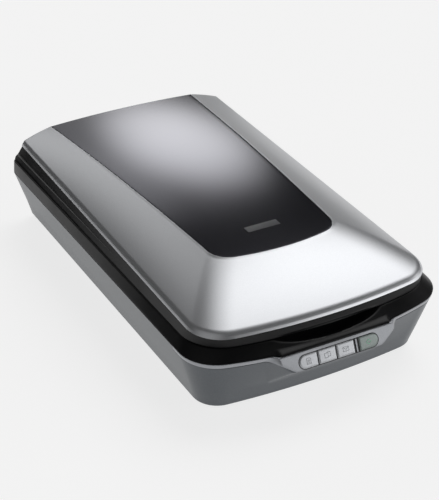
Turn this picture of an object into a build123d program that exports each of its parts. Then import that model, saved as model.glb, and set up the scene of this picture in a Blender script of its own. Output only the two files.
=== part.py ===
from build123d import *
import math
import os

# A4 flatbed photo scanner. Millimetres, +Z up, front towards -Y.
# Origin: centre of the overall footprint, on the surface that the rubber feet stand on.

# ------------------------------------------------------------------ overall
overall_width = 275.0
overall_depth = 470.0
table_height = 77.0
lid_height = 41.0

half_width = overall_width / 2
front = -overall_depth / 2
rear = overall_depth / 2
crown_height = table_height + lid_height

# ------------------------------------------------------------------ base outlines
chin_overhang = 6.5
base_front = front + chin_overhang
foot_height = 5.0
edge_round = 3.0
case_wall = 2.6
case_floor = 3.0
base_rear_corner = 8.0

foot_side_inset = 17.0
foot_front_inset = 27.7
foot_bow = 8.4
foot_corner = 26.0

crease_height = 25.0
crease_side_inset = 12.3
crease_front_inset = 21.6
crease_bow = 10.0
crease_corner = 29.0

seam_height = 65.2
seam_slope = -0.010
seam_bow = 25.1
seam_corner = 40.2

table_side_inset = 7.7
table_rear_side_inset = 1.1
table_front_inset = 14.1
table_bow = 17.6
table_corner = 44.0
table_plate = 4.5

# ------------------------------------------------------------------ document glass
scan_width = 216.0
scan_length = 297.0
window_margin = 3.0
glass_ledge = 4.0
glass_thickness = 3.0
glass_fit = 0.2
glass_centre_y = -2.0
strip_length = 12.0
strip_thickness = 0.6

# ------------------------------------------------------------------ control panel
strip_height = 5.7
trim_depth = 1.6
trim_gap = 0.2
notch_from_front = 73.0
chin_height = 50.8
chin_lean = 24.0
chin_top_half = 62.0
chin_bottom_half = 48.5
chin_shoulder_drop = 6.0
chin_plate = 2.4
chin_wall = 2.2
chin_root_y = 35.0
chin_root_spread = 14.0
chin_root_drop = 4.0

pill_length = 86.0
pill_height = 13.0
pill_centre = 7.6
start_width = 21.4
divider_width = 4.5
button_gap = 0.35
button_thickness = 3.2
button_proud = 0.7
button_rim = 1.2
button_travel = 1.0
stem_radius = 2.0
stem_length = 3.2
board_thickness = 1.6
rib_thickness = 2.0
pill_clearance = 1.0
button_board_height = 15.0
button_board_lift = 1.5
switch_size = 6.0
switch_height = 1.0
switch_gap = 0.2

# ------------------------------------------------------------------ finger recess
scoop_half = 60.0
scoop_radius = 15.0
scoop_floor = 68.5
scoop_setback = 15.5
scoop_sweep = 200.0
scoop_backing = 6.0

# ------------------------------------------------------------------ lid
lid_gap = 0.4
lid_rear_setback = 1.8
lid_rear_corner = 3.0
lid_wall = 2.5
skirt_wall = 3.0
rim_height = 5.5
rim_inset = 3.0

edge_height = 89.4
edge_slope = 0.011
edge_side_inset = 10.0
edge_rear_side_inset = 12.4
edge_front_inset = 15.1
edge_bow = 12.9
edge_corner = 37.0
skirt_rear_inset = 2.0
skirt_tuck = 0.8
mat_corner = 5.0

crown_across = 1500.0
crown_along = 4140.0
crown_peak_y = -40.0

panel_rear_half = 88.0
panel_front_half = 68.0
panel_nose_setback = 104.7
panel_bow = 12.0
panel_corner = 24.0
panel_thickness = 2.2
panel_gap = 0.3
roof_height = 113.2
roof_slope = -0.0285
roof_lift = 2.0

badge_length = 36.0
badge_width = 10.0
badge_thickness = 0.9
badge_proud = 0.3
badge_gap = 0.1
badge_setback = 147.0

inner_plate_height = 84.0
inner_plate = 2.5
mat_margin = 4.0

# ------------------------------------------------------------------ film light in the lid
window_width = 80.0
window_length = 190.0
housing_height = 11.0
housing_wall = 2.0
housing_margin = 8.0
lamp_radius = 1.6
inverter_size = (70.0, 24.0)
inverter_gap = 4.0
transformer = (14.0, 18.0, 8.0)
transformer_shift = 12.0
lid_screw_end = 6.0
lid_screw_gap = 5.0
tube_margin = 4.0

# ------------------------------------------------------------------ hinges
hinge_x = 85.0
post_width = 14.0
post_depth = 7.0
post_fit = 0.4
post_from_rear = 13.0
post_bottom = 30.0
guide_wall = 2.5
guide_top = 68.0
hinge_from_rear = 6.0
pin_radius = 1.5
pin_fit = 0.05
ear_thickness = 3.0
ear_gap = 0.4
bracket_thickness = 2.0
bracket_length = 28.0
notch_margin = 2.0
notch_size = (34.0, 13.5)

# ------------------------------------------------------------------ carriage and drive
carriage_depth = 44.0
carriage_bottom = 24.0
carriage_top = 71.6
carriage_margin = 5.0
carriage_wall = 2.0
carriage_home_y = 152.0
carriage_inside = 2 * (scan_width / 2 + carriage_margin - carriage_wall)
lens_radius = 6.0
lens_height = 36.0
lamp_drop = 5.0
reflector_radius = 4.0
reflector_sheet = 0.8
reflector_lip = 0.5
mirror_size = (10.0, 1.6)
mirrors_at = ((-12, 10, 45), (12, 10, -40), (-13, 26, 30), (12, 30, -30))
lens_length = 12.0
lens_step = 1.5
sensor_board_size = (70.0, 26.0)
sensor_chip = (56.0, 3.4, 8.0)
sensor_board_x = 50.0
clip_size = (9.0, 12.0)
clip_play = 0.8
lamp_setback = 11.0
scan_travel = 302.0

rod_radius = 4.0
rod_fit = 0.05
rod_x = 30.0
rod_height = 18.0
rod_rear_y = 186.0
rod_front_y = -186.0
clip_thickness = 6.0
clip_wall = 3.0
clip_cap = 2.0
bushing_wall = 2.0
bushing_length = 14.0
rail_x = -96.0
rail_width = 8.0
rail_top = 22.0
rail_spare = 2.0
runner_length = 20.0
runner_gap = 0.4

drive_x = 62.0
drive_from_rear = 41.0
idler_from_front = 49.0
gear_module = 0.8
pinion_teeth = 14
gear_teeth = 56
gear_play = 0.1
gear_bottom = 10.0
gear_thickness = 4.0
pulley_radius = 8.0
flange_radius = 9.6
flange_thickness = 1.0
belt_width = 5.0
belt_thickness = 1.2
belt_gap = 0.05
axle_radius = 2.0
axle_fit = 0.05
motor_radius = 17.5
motor_length = 20.0
motor_shaft_radius = 1.0
motor_boss_radius = 4.0
motor_boss_height = 1.5
motor_lift = 2.5
motor_margin = 3.0
bracket_plate = 1.6
bracket_depth = 22.0
leg_thickness = 2.0
pulley_clearance = 2.4
pin_plate = 20.0
idler_plate = (22.0, 24.0)
idler_arm = 9.0
spring_length = 16.0
spring_radius = 2.2
spring_offset = 16.0
spring_shift = 4.0
spring_lug = 7.0

# ------------------------------------------------------------------ electronics
main_board_size = (118.0, 36.0)
main_board_x = -43.5
board_tab = (82.0, 16.0)
board_tab_x = -24.0
standoff_height = 4.0
standoff_radius = 3.0
post_margin = 5.0
chips = ((-36, 2, 20, 1.6), (-12, -2, 14, 1.4), (44, -4, 12, 1.4), (20, -8, 8, 3.0))
ribbon = (20.0, 160.0, 0.4)
ribbon_x = -20.0
home_gate = (10.0, 8.0, 12.0)
home_fork = (4.0, 8.0)
sensor_x = -109.0
sensor_gap = 5.0
port_xs = (-50.0, -20.0, 10.0)
jack_size = (11.0, 22.0, 12.0)
jack_bore = 3.4
jack_pin = 1.0
usb_size = (12.0, 20.0, 11.0)
usb_wall = 0.7
usb_tongue = (5.6, 3.2)
option_size = (16.0, 20.0, 13.0)
option_bore = 5.0
port_fit = 0.3
port_recess = 0.3

# ------------------------------------------------------------------ feet, screws and lock
rubber_foot_radius = 8.0
rubber_foot_inset = 24.0
column_radius = 5.0
screw_shank = 1.5
screw_head = 2.9
screw_head_height = 2.0
screw_seat = 60.0
front_column = (88.0, 51.0)
rear_column = (113.0, 24.0)
screw_bite = 5.0
lock_x = 107.0
lock_slot_height = 6.0
lock_plate = (20.0, 2.0, 12.0)
lock_knob = (8.0, 5.4)
lock_height = 40.0
lock_travel = 6.0

# ------------------------------------------------------------------ places worked out from the sizes
drive_y = rear - drive_from_rear
idler_y = front + idler_from_front
post_y = rear - post_from_rear
hinge_y = rear - hinge_from_rear
lid_rear = rear - lid_rear_setback
lid_bottom = table_height + lid_gap
hinge_height = lid_bottom + lid_rear - hinge_y
knuckle_radius = hinge_height - lid_bottom - ear_gap
floor_top = foot_height + case_floor
glass_top = table_height - glass_fit
glass_bottom = glass_top - glass_thickness
gear_top = gear_bottom + gear_thickness
belt_bottom = gear_top + 2 * flange_thickness
pinion_x = drive_x + gear_module * (pinion_teeth + gear_teeth) / 2 + gear_play
board_top = floor_top + standoff_height + board_thickness
main_board_y = post_y - post_depth / 2 - guide_wall - post_fit - 2.0 - main_board_size[1] / 2
carriage_half = scan_width / 2 + carriage_margin
lean = math.radians(chin_lean)
panel_plane = Plane(
    origin=(0, front, chin_height),
    x_dir=(1, 0, 0),
    z_dir=(0, -math.cos(lean), math.sin(lean)),
)
far = 400.0


# ------------------------------------------------------------------ shared shapes
def block(size_x, size_y, size_z, x, y, z):
    """A box centred on x and y that stands on height z."""
    return Pos(x, y, z) * Box(size_x, size_y, size_z, align=(Align.CENTER, Align.CENTER, Align.MIN))


def rod(radius, length, x, y, z):
    """An upright cylinder that stands on height z."""
    return Pos(x, y, z) * Cylinder(radius, length, align=(Align.CENTER, Align.CENTER, Align.MIN))


def rod_along(axis_turn, radius, length, x, y, z):
    """A lying cylinder centred on its place; axis_turn is a Rotation that lays it down."""
    return Pos(x, y, z) * axis_turn * Cylinder(radius, length)


along_x = Rotation(0, 90, 0)
along_y = Rotation(90, 0, 0)


def plan(height, slope, side, rear_side, nose, bow, corner, back, back_corner, inset=0.0):
    """A level outline: straight sides, a bowed front between round corners, a square back."""
    shoulder = nose + bow + inset
    left = Line((inset - rear_side, back - inset), (inset - side, shoulder))
    bowed = ThreePointArc((inset - side, shoulder), (0, nose + inset), (side - inset, shoulder))
    right = Line((side - inset, shoulder), (rear_side - inset, back - inset))
    closing = Line((rear_side - inset, back - inset), (inset - rear_side, back - inset))
    face = make_face([left, bowed, right, closing])
    face = fillet(face.vertices().sort_by(Axis.Y)[:2], corner - inset)
    face = fillet(face.vertices().sort_by(Axis.Y)[-2:], max(back_corner - inset, 0.5))
    level = Plane(origin=(0, 0, height), x_dir=(1, 0, 0), z_dir=(0, -slope, 1))
    return level * face


def foot_plan(height, inset=0.0):
    """The outline where the lower case meets its floor."""
    side = half_width - foot_side_inset
    nose = base_front + foot_front_inset
    return plan(height, 0, side, side, nose, foot_bow, foot_corner, rear, base_rear_corner, inset)


def crease_plan(inset=0.0):
    """The outline of the crease between the foot and the flared side of the lower case."""
    side = half_width - crease_side_inset
    nose = base_front + crease_front_inset
    return plan(
        crease_height, 0, side, side, nose, crease_bow, crease_corner, rear, base_rear_corner, inset
    )


def seam_plan(inset=0.0, drop=0.0):
    """The widest outline of the base, where the lower case meets the bezel."""
    return plan(
        seam_height - drop,
        seam_slope,
        half_width,
        half_width,
        base_front,
        seam_bow,
        seam_corner,
        rear,
        base_rear_corner,
        inset,
    )


def table_plan(height, inset=0.0):
    """The outline of the bezel's flat top."""
    return plan(
        height,
        0,
        half_width - table_side_inset,
        half_width - table_rear_side_inset,
        base_front + table_front_inset,
        table_bow,
        table_corner,
        rear,
        base_rear_corner,
        inset,
    )


def edge_plan(lift=0.0, inset=0.0):
    """The outline of the silver lid shell's lower edge."""
    return plan(
        edge_height + lift,
        edge_slope,
        half_width - edge_side_inset,
        half_width - edge_rear_side_inset,
        base_front + edge_front_inset,
        edge_bow,
        edge_corner,
        lid_rear,
        lid_rear_corner,
        inset,
    )


def panel_plan(height, slope, inset=0.0):
    """The outline of the dark top panel, which widens towards the rear."""
    return plan(
        height,
        slope,
        panel_front_half,
        panel_rear_half,
        front + panel_nose_setback,
        panel_bow,
        panel_corner,
        lid_rear + inset,
        lid_rear_corner,
        inset,
    )


def crown_solid(drop=0.0):
    """Everything below the lid's crowned top surface, lowered by drop."""
    reach = overall_width
    peak = crown_height - drop
    sag = crown_across - math.sqrt(crown_across**2 - reach**2)
    arc = ThreePointArc((-reach, peak - sag), (0, peak), (reach, peak - sag))
    down = Polyline((reach, peak - sag), (reach, 0), (-reach, 0), (-reach, peak - sag))
    section = Plane.XZ.offset(-crown_peak_y) * make_face([arc, down])
    axis = Axis((0, crown_peak_y, peak - crown_along), (1, 0, 0))
    half_angle = math.degrees(overall_depth / crown_along)
    return revolve(section.rotate(axis, -half_angle), axis, 2 * half_angle)


# ------------------------------------------------------------------ base shells
def below_seam(drop):
    """Everything below the seam plane, lowered by drop."""
    level = Plane(origin=(0, 0, seam_height - drop), x_dir=(1, 0, 0), z_dir=(0, -seam_slope, 1))
    return extrude(level * Rectangle(2 * overall_width, 2 * overall_depth), -far)


def base_form(inset, foot_level):
    """The flared tub of the lower case, shrunk by inset."""
    return loft([foot_plan(foot_level, inset), crease_plan(inset), seam_plan(inset)], ruled=True)


def chin_corner(half, up, back):
    """A point on the control panel's face plane: half across, up the face, back behind it."""
    return tuple(panel_plane.from_local_coords((half, up, -back)))


def chin_outline(back, shrink):
    """The four corners of the chin at a depth behind the panel face."""
    top = (seam_height - chin_height) / math.cos(lean)
    return [
        chin_corner(-chin_top_half + shrink, top, back),
        chin_corner(-chin_bottom_half + shrink, shrink, back),
        chin_corner(chin_bottom_half - shrink, shrink, back),
        chin_corner(chin_top_half - shrink, top, back),
    ]


def chin_form(back, shrink):
    """The bulge that carries the control panel, from behind its plate to the case wall."""
    root_y = front + chin_root_y
    half = chin_bottom_half + chin_root_spread - shrink
    root_top = seam_height
    root_bottom = crease_height - chin_root_drop + shrink
    root = [
        (-chin_top_half + shrink, root_y, root_top),
        (-half, root_y, root_bottom),
        (half, root_y, root_bottom),
        (chin_top_half - shrink, root_y, root_top),
    ]
    face = make_face(Polyline(*chin_outline(back, shrink), close=True))
    return loft([face, make_face(Polyline(*root, close=True))], ruled=True)


def columns():
    """The four screw columns' places, as x and y."""
    front_y = front + front_column[1]
    rear_y = rear - rear_column[1]
    return [
        (-front_column[0], front_y),
        (front_column[0], front_y),
        (-rear_column[0], rear_y),
        (rear_column[0], rear_y),
    ]


def seam_at(y):
    """The height of the seam plane at a depth y."""
    return seam_height + seam_slope * y


def trim_band(depth, gap):
    """The top band of the case's flared wall round the front, to a depth below its surface."""
    wall = base_form(0, floor_top) - base_form(depth, floor_top)
    end_y = front + notch_from_front - gap
    front_part = block(2 * overall_width, overall_depth, far, 0, end_y - overall_depth / 2, 0)
    return (wall & front_part) - below_seam(strip_height - gap)


def lock_slot():
    """The cut in the rear wall that the lock knob slides in."""
    width = lock_knob[0] + lock_travel + 2 * port_fit
    centre = lock_x + lock_travel / 2
    return block(width, 4 * case_wall, lock_slot_height, centre, rear, lock_height - lock_slot_height / 2)


def pill_outline(gap):
    """The round-ended outline of the row of buttons, grown by gap."""
    return Pos(0, pill_centre) * SlotOverall(pill_length + 2 * gap, pill_height + 2 * gap)


def button_ribs():
    """Two ribs inside the chin that hold the ends of the button board."""
    ribs = []
    depth = chin_root_y
    for side in (-1, 1):
        x = side * (pill_length + rib_thickness) / 2
        ribs.append(block(rib_thickness, depth, far, x, front + depth / 2, 0))
    return chin_form(chin_plate, 0) & below_seam(0) & Compound(children=ribs)


def spring_rib():
    """The lug on the case floor that the belt spring pulls against."""
    y = idler_y - spring_length / 2 - rib_thickness / 2 + spring_shift
    return block(spring_lug, rib_thickness, spring_lug, drive_x - spring_offset, y, floor_top)


def lower_case():
    """Silver lower tub with the chin, screw columns, hinge guides and port cut-outs."""
    edge_top = foot_height + edge_round
    chamfered = loft([foot_plan(foot_height, edge_round), foot_plan(edge_top)], ruled=True)
    lower = loft([foot_plan(edge_top), crease_plan(), seam_plan()], ruled=True)
    outside = chamfered + lower
    outside += chin_form(chin_plate, 0) & below_seam(0)
    cavity = base_form(case_wall, floor_top)
    cavity += chin_form(chin_plate + chin_wall, chin_wall) & below_seam(0)
    shell = outside - cavity
    for x, y in columns():
        shell += rod(column_radius, seam_at(y) - floor_top, x, y, floor_top)
        shell -= rod(screw_head + port_fit, screw_seat, x, y, 0)
        shell -= rod(screw_shank, far, x, y, screw_seat)
    for side in (-1, 1):
        guide_width = post_width + 2 * post_fit + 2 * guide_wall
        guide_depth = post_depth + 2 * post_fit + 2 * guide_wall
        slot_width = post_width + 2 * post_fit
        shell += block(guide_width, guide_depth, guide_top - floor_top, side * hinge_x, post_y, floor_top)
        shell -= block(slot_width, post_depth + 2 * post_fit, far, side * hinge_x, post_y, floor_top + 1)
    for x, y in board_posts():
        shell += rod(standoff_radius, standoff_height, x, y, floor_top)
        shell -= rod(screw_shank, far, x, y, floor_top + 1)
    shell -= trim_band(trim_depth, 0.0)
    shell -= extrude(panel_plane.offset(-chin_plate) * panel_outline(), 4 * chin_plate)
    shell -= port_opening(port_xs[0], jack_size)
    shell -= port_opening(port_xs[1], usb_size)
    shell -= port_opening(port_xs[2], option_size)
    shell -= lock_slot()
    shell += button_ribs() + spring_rib()
    shell -= extrude(panel_plane * pill_outline(pill_clearance), -chin_plate - 2 * chin_wall)
    return shell & below_seam(0)


def upper_bezel():
    """Black frame that holds the glass, with the finger recess in its front edge."""
    outside = loft([seam_plan(), table_plan(table_height)], ruled=True)
    under = table_height - table_plate
    cavity = loft([seam_plan(case_wall), table_plan(under, case_wall)], ruled=True)
    frame = outside - cavity
    seat = (scan_width + 2 * (window_margin + glass_ledge), scan_length + 2 * (window_margin + glass_ledge))
    frame -= block(seat[0], seat[1], far, 0, glass_centre_y, glass_bottom)
    window = (scan_width + 2 * window_margin, scan_length + 2 * window_margin)
    frame -= block(window[0], window[1], far, 0, glass_centre_y, 0)
    scoop_y = base_front + scoop_setback
    centre_z = scoop_floor + scoop_radius
    ring = Torus(scoop_sweep, scoop_radius)
    wall = block(2 * scoop_half, 3 * scoop_radius, far, 0, scoop_y, 0)
    backing_y = scoop_y + scoop_radius
    backing = block(2 * scoop_half, scoop_backing, table_height - scoop_floor, 0, backing_y, scoop_floor - 1)
    bowl_bottom = seam_at(front)
    bowl = block(2 * scoop_half, 2 * scoop_radius, table_height - bowl_bottom, 0, scoop_y, bowl_bottom)
    frame += (bowl + backing) & outside
    cutter = Pos(0, scoop_y, centre_z + scoop_sweep) * along_y * ring
    frame -= cutter & wall
    for x, y in columns():
        boss = rod(column_radius, under - seam_at(y), x, y, seam_at(y))
        frame += boss
        frame -= rod(screw_shank, seam_height + screw_bite - screw_seat, x, y, screw_seat)
    for side in (-1, 1):
        frame -= block(
            post_width + 2 * post_fit, post_depth + 2 * post_fit, far, side * hinge_x, post_y, 0
        )
    return frame


def panel_outline():
    """The button panel's outline on its own face: slanted shoulders, then straight up to the seam."""
    top = (seam_height - chin_height) / math.cos(lean) + chin_shoulder_drop
    shoulder = top - chin_shoulder_drop - strip_height
    outline = Polyline(
        (-chin_top_half, top),
        (-chin_top_half, shoulder),
        (-chin_bottom_half, 0),
        (chin_bottom_half, 0),
        (chin_top_half, shoulder),
        (chin_top_half, top),
        close=True,
    )
    return make_face(outline)


def control_trim():
    """Lighter silver strip round the front, widening into the leaning button panel."""
    strip = trim_band(trim_depth - trim_gap, trim_gap)
    plate = extrude(panel_plane * panel_outline(), -chin_plate)
    behind = chin_form(chin_plate, 0)
    trim = (strip - behind + plate) & below_seam(trim_gap)
    for left, width in buttons().values():
        opening = button_outline(left, width, button_gap)
        trim -= extrude(panel_plane * opening, -2 * chin_plate)
    return trim


# ------------------------------------------------------------------ buttons
def buttons():
    """Each button's left end and width along the pill."""
    small = (pill_length - start_width - divider_width) / 3
    left = -pill_length / 2
    return {
        "document_button": (left, small),
        "copy_button": (left + small, small),
        "mail_button": (left + 2 * small, small),
        "start_button": (pill_length / 2 - start_width, start_width),
    }


def button_outline(left, width, gap):
    """One button's part of the pill outline, grown by gap at its ends and sides."""
    pill = SlotOverall(pill_length + 2 * gap, pill_height + 2 * gap)
    part = Pos(left + width / 2, 0) * Rectangle(width - button_rim + 2 * gap, 2 * pill_height)
    first = left < button_rim - pill_length / 2
    last = left + width > pill_length / 2 - button_rim
    if first or last:
        side = -1 if first else 1
        part += Pos(left + width / 2 + side * button_rim, 0) * Rectangle(width, 2 * pill_height)
    return Pos(0, pill_centre) * (pill & part)


def button(left, width):
    """A key cap with a stem that reaches the switch behind it."""
    cap = extrude(panel_plane * button_outline(left, width, 0.0), -button_thickness)
    cap += extrude(panel_plane * button_outline(left, width, 0.0), button_proud)
    stem_plane = panel_plane.offset(-button_thickness)
    stem = extrude(stem_plane * Pos(left + width / 2, pill_centre) * Circle(stem_radius), -stem_length)
    return cap + stem


def button_board():
    """The switch board behind the panel, with one switch for each key."""
    setback = button_thickness + stem_length + button_travel + switch_height + switch_gap
    board_plane = panel_plane.offset(-setback - board_thickness)
    outline = Pos(0, pill_centre + button_board_lift) * Rectangle(pill_length, button_board_height)
    board = extrude(board_plane * outline, board_thickness)
    for left, width in buttons().values():
        spot = Pos(left + width / 2, pill_centre)
        switch = board_plane * spot * Rectangle(switch_size, switch_size)
        board += extrude(switch, board_thickness + switch_height)
    return board


# ------------------------------------------------------------------ base contents
def document_glass():
    """The flat glass that originals lie on."""
    width = scan_width + 2 * (window_margin + glass_ledge - glass_fit)
    length = scan_length + 2 * (window_margin + glass_ledge - glass_fit)
    return block(width, length, glass_thickness, 0, glass_centre_y, glass_bottom)


def calibration_strip():
    """White reference strip under the rear end of the glass."""
    y = glass_centre_y + scan_length / 2 + window_margin - strip_length / 2 - glass_fit
    return block(scan_width, strip_length, strip_thickness, 0, y, glass_bottom - strip_thickness)


def guide_rod():
    """Steel rod that the carriage slides on."""
    centre = (rod_front_y + rod_rear_y) / 2
    return rod_along(along_y, rod_radius, rod_rear_y - rod_front_y, rod_x, centre, rod_height)


def rod_clips():
    """Two saddle blocks that hold the rod's ends."""
    clips = []
    width = 2 * (rod_radius + clip_wall)
    height = rod_height + rod_radius + clip_cap - floor_top
    for y in (rod_front_y + clip_thickness / 2, rod_rear_y - clip_thickness / 2):
        saddle = block(width, clip_thickness, height, rod_x, y, floor_top)
        clips.append(saddle - rod_along(along_y, rod_radius, far, rod_x, y, rod_height))
    return Compound(children=clips)


def slide_rail():
    """Plain rail under the carriage's far end."""
    length = scan_travel + carriage_depth + rail_spare
    centre = carriage_home_y - scan_travel / 2
    return block(rail_width, length, rail_top - floor_top, rail_x, centre, floor_top)


def gear_wheel(teeth, bottom, thickness, turn):
    """A spur wheel with straight-flanked teeth and room between them."""
    pitch_radius = gear_module * teeth / 2
    root = pitch_radius - 1.25 * gear_module
    tip = pitch_radius + 0.8 * gear_module
    tooth_angle = 2 * math.pi / teeth
    foot = 0.26 * tooth_angle
    crown = 0.11 * tooth_angle
    points = []
    for index in range(teeth):
        centre = index * tooth_angle + turn
        for radius, angle in ((root, -foot), (tip, -crown), (tip, crown), (root, foot)):
            points.append((radius * math.cos(centre + angle), radius * math.sin(centre + angle)))
    outline = make_face(Polyline(*points, close=True))
    return Pos(0, 0, bottom) * extrude(outline, thickness)


def reduction_gear():
    """Large gear with the belt pulley moulded on top of it."""
    wheel = gear_wheel(gear_teeth, gear_bottom, gear_thickness, 0.0)
    hub = rod(flange_radius, 2 * flange_thickness, 0, 0, gear_top)
    hub += rod(pulley_radius, belt_width + 1, 0, 0, belt_bottom)
    hub += rod(flange_radius, flange_thickness, 0, 0, belt_bottom + belt_width + 1)
    hub -= rod(axle_radius + axle_fit, far, 0, 0, 0)
    return Pos(drive_x, drive_y, 0) * (wheel - rod(axle_radius + axle_fit, far, 0, 0, 0) + hub)


def motor_pinion():
    """Brass pinion on the motor shaft."""
    half_tooth = math.pi / pinion_teeth
    wheel = gear_wheel(pinion_teeth, gear_bottom, gear_thickness, math.pi + half_tooth)
    return Pos(pinion_x, drive_y, 0) * (wheel - rod(motor_shaft_radius + axle_fit, far, 0, 0, 0))


def motor_bracket():
    """Steel plate that carries the motor above the gear."""
    height = gear_top + motor_lift
    width = 2 * (motor_radius + motor_margin)
    plate = block(width, bracket_depth, bracket_plate, pinion_x + leg_thickness, drive_y, height)
    plate -= rod(flange_radius + pulley_clearance, far, drive_x, drive_y, 0)
    plate -= rod(motor_boss_radius - 1, far, pinion_x, drive_y, 0)
    leg_x = pinion_x + motor_radius + motor_margin + leg_thickness / 2
    plate += block(leg_thickness, bracket_depth, height - floor_top, leg_x, drive_y, floor_top)
    return plate


def drive_motor():
    """Round stepping motor, shaft downwards."""
    base = gear_top + motor_lift + bracket_plate
    motor = rod(motor_radius, motor_length, pinion_x, drive_y, base)
    motor += rod(motor_boss_radius, motor_boss_height, pinion_x, drive_y, base + motor_length)
    motor += rod(motor_shaft_radius, base - gear_bottom, pinion_x, drive_y, gear_bottom)
    return motor


def idler_pulley():
    """Plain flanged pulley at the front end of the belt."""
    wheel = rod(flange_radius, flange_thickness, 0, 0, belt_bottom - flange_thickness)
    wheel += rod(pulley_radius, belt_width + 1, 0, 0, belt_bottom)
    wheel += rod(flange_radius, flange_thickness, 0, 0, belt_bottom + belt_width + 1)
    return Pos(drive_x, idler_y, 0) * (wheel - rod(axle_radius + axle_fit, far, 0, 0, 0))


def belt_loop(radius):
    """The area inside a belt line at a distance from both pulley centres."""
    middle = Pos(drive_x, (drive_y + idler_y) / 2)
    return middle * Rotation(0, 0, 90) * SlotCenterToCenter(drive_y - idler_y, 2 * radius)


def drive_belt():
    """Flat toothed belt round the two pulleys."""
    inside = pulley_radius + belt_gap
    ring = belt_loop(inside + belt_thickness) - belt_loop(inside)
    return Pos(0, 0, belt_bottom + 0.5) * extrude(ring, belt_width)


def axles():
    """The fixed pins that the two pulleys turn on."""
    bottom = floor_top + bracket_plate
    length = belt_bottom + belt_width + 3 - bottom
    pins = [rod(axle_radius, length, drive_x, y, bottom) for y in (drive_y, idler_y)]
    return Compound(children=pins)


def idler_bracket():
    """Sliding steel plate under the idler, drawn forwards by the tension spring."""
    plate = block(idler_plate[0], idler_plate[1], bracket_plate, drive_x, idler_y + spring_shift, floor_top)
    arm_y = idler_y + spring_shift + spring_length / 2 + rib_thickness / 2
    lug_x = drive_x - spring_offset
    plate += block(idler_arm, rib_thickness, spring_lug, lug_x + idler_arm / 2, arm_y, floor_top)
    return plate + block(spring_lug, rib_thickness, spring_lug, lug_x, arm_y, floor_top)


def gear_plate():
    """Steel plate under the reduction gear's pin."""
    return block(pin_plate, pin_plate, bracket_plate, drive_x, drive_y, floor_top)


def tension_spring():
    """Coil spring that keeps the belt tight, as its outer sleeve."""
    centre_y = idler_y + spring_shift
    return rod_along(
        along_y, spring_radius, spring_length, drive_x - spring_offset, centre_y, floor_top + spring_lug / 2
    )


def board_posts():
    """Places of the main board's four stand-offs."""
    half_x = main_board_size[0] / 2 - post_margin
    half_y = main_board_size[1] / 2 - post_margin
    signs = [(-1, -1), (-1, 1), (1, -1), (1, 1)]
    return [(main_board_x + sx * half_x, main_board_y + sy * half_y) for sx, sy in signs]


def main_board():
    """Control board with its larger chips and connectors."""
    bottom = floor_top + standoff_height
    width, depth = main_board_size
    board = block(width, depth, board_thickness, main_board_x, main_board_y, bottom)
    tab_y = main_board_y + depth / 2 + board_tab[1] / 2
    board += block(board_tab[0], board_tab[1], board_thickness, board_tab_x, tab_y, bottom)
    for x, y, size, height in chips:
        board += block(size, size, height, main_board_x + x, main_board_y + y, board_top)
    for x, y in board_posts():
        board -= rod(screw_shank, far, x, y, 0)
    return board


def board_screws():
    """Four screws that hold the main board."""
    screws = []
    for x, y in board_posts():
        shank = rod(screw_shank, board_top - floor_top - 2, x, y, floor_top + 2)
        screws.append(shank + rod(screw_head, screw_head_height, x, y, board_top))
    return Compound(children=screws)


def port_opening(x, size):
    """The cut in the rear wall round one socket."""
    return block(
        size[0] + 2 * port_fit, 4 * case_wall, size[2] + 2 * port_fit, x, rear, board_top - port_fit
    )


def port_body(x, size):
    """A socket's body, standing on the main board and reaching the rear wall."""
    return block(size[0], size[1], size[2], x, rear - port_recess - size[1] / 2, board_top)


def power_jack():
    """Low-voltage inlet with its centre pin."""
    x = port_xs[0]
    height = board_top + jack_size[2] / 2
    depth = jack_size[1] - 4
    mouth_y = rear - port_recess
    jack = port_body(x, jack_size)
    jack -= rod_along(along_y, jack_bore, depth, x, mouth_y - depth / 2, height)
    pin_length = depth - 2
    return jack + rod_along(along_y, jack_pin, pin_length, x, mouth_y - 2 - pin_length / 2, height)


def usb_port():
    """Square data socket with its tongue."""
    x = port_xs[1]
    depth = usb_size[1] - 4
    mouth_y = rear - port_recess
    inner = (usb_size[0] - 2 * usb_wall, usb_size[2] - 2 * usb_wall)
    port = port_body(x, usb_size)
    port -= block(inner[0], depth, inner[1], x, mouth_y - depth / 2, board_top + usb_wall)
    tongue_z = board_top + usb_size[2] / 2 - usb_tongue[1] / 2
    tongue_length = depth - 1.5
    tongue_y = mouth_y - 1.5 - tongue_length / 2
    return port + block(usb_tongue[0], tongue_length, usb_tongue[1], x, tongue_y, tongue_z)


def option_port():
    """Round socket for the lid's film light lead."""
    x = port_xs[2]
    depth = 8.0
    mouth_y = rear - port_recess
    port = port_body(x, option_size)
    height = board_top + option_size[2] / 2
    return port - rod_along(along_y, option_bore, depth, x, mouth_y - depth / 2, height)


def flat_cable():
    """Flat ribbon that lies on the case floor between the main board and the carriage."""
    start = main_board_y - main_board_size[1] / 2
    return block(ribbon[0], ribbon[1], ribbon[2], ribbon_x, start - ribbon[1] / 2, floor_top)


def home_sensor():
    """Forked light gate that finds the carriage's home place."""
    y = carriage_home_y + carriage_depth / 2 + sensor_gap
    body = block(home_gate[0], home_gate[1], home_gate[2], sensor_x, y, floor_top)
    fork_bottom = floor_top + home_gate[2] - home_fork[1]
    return body - block(home_fork[0], 2 * home_gate[1], home_gate[2], sensor_x, y, fork_bottom)


def rubber_feet():
    """Four round rubber feet."""
    feet = []
    inset = rubber_foot_inset
    side = half_width - foot_side_inset - inset
    for x in (-side, side):
        for y in (base_front + foot_front_inset + foot_bow + inset, rear - inset):
            pad = rod(rubber_foot_radius, foot_height, x, y, 0)
            feet.append(chamfer(pad.edges().group_by(Axis.Z)[0], 0.8))
    return Compound(children=feet)


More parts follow.
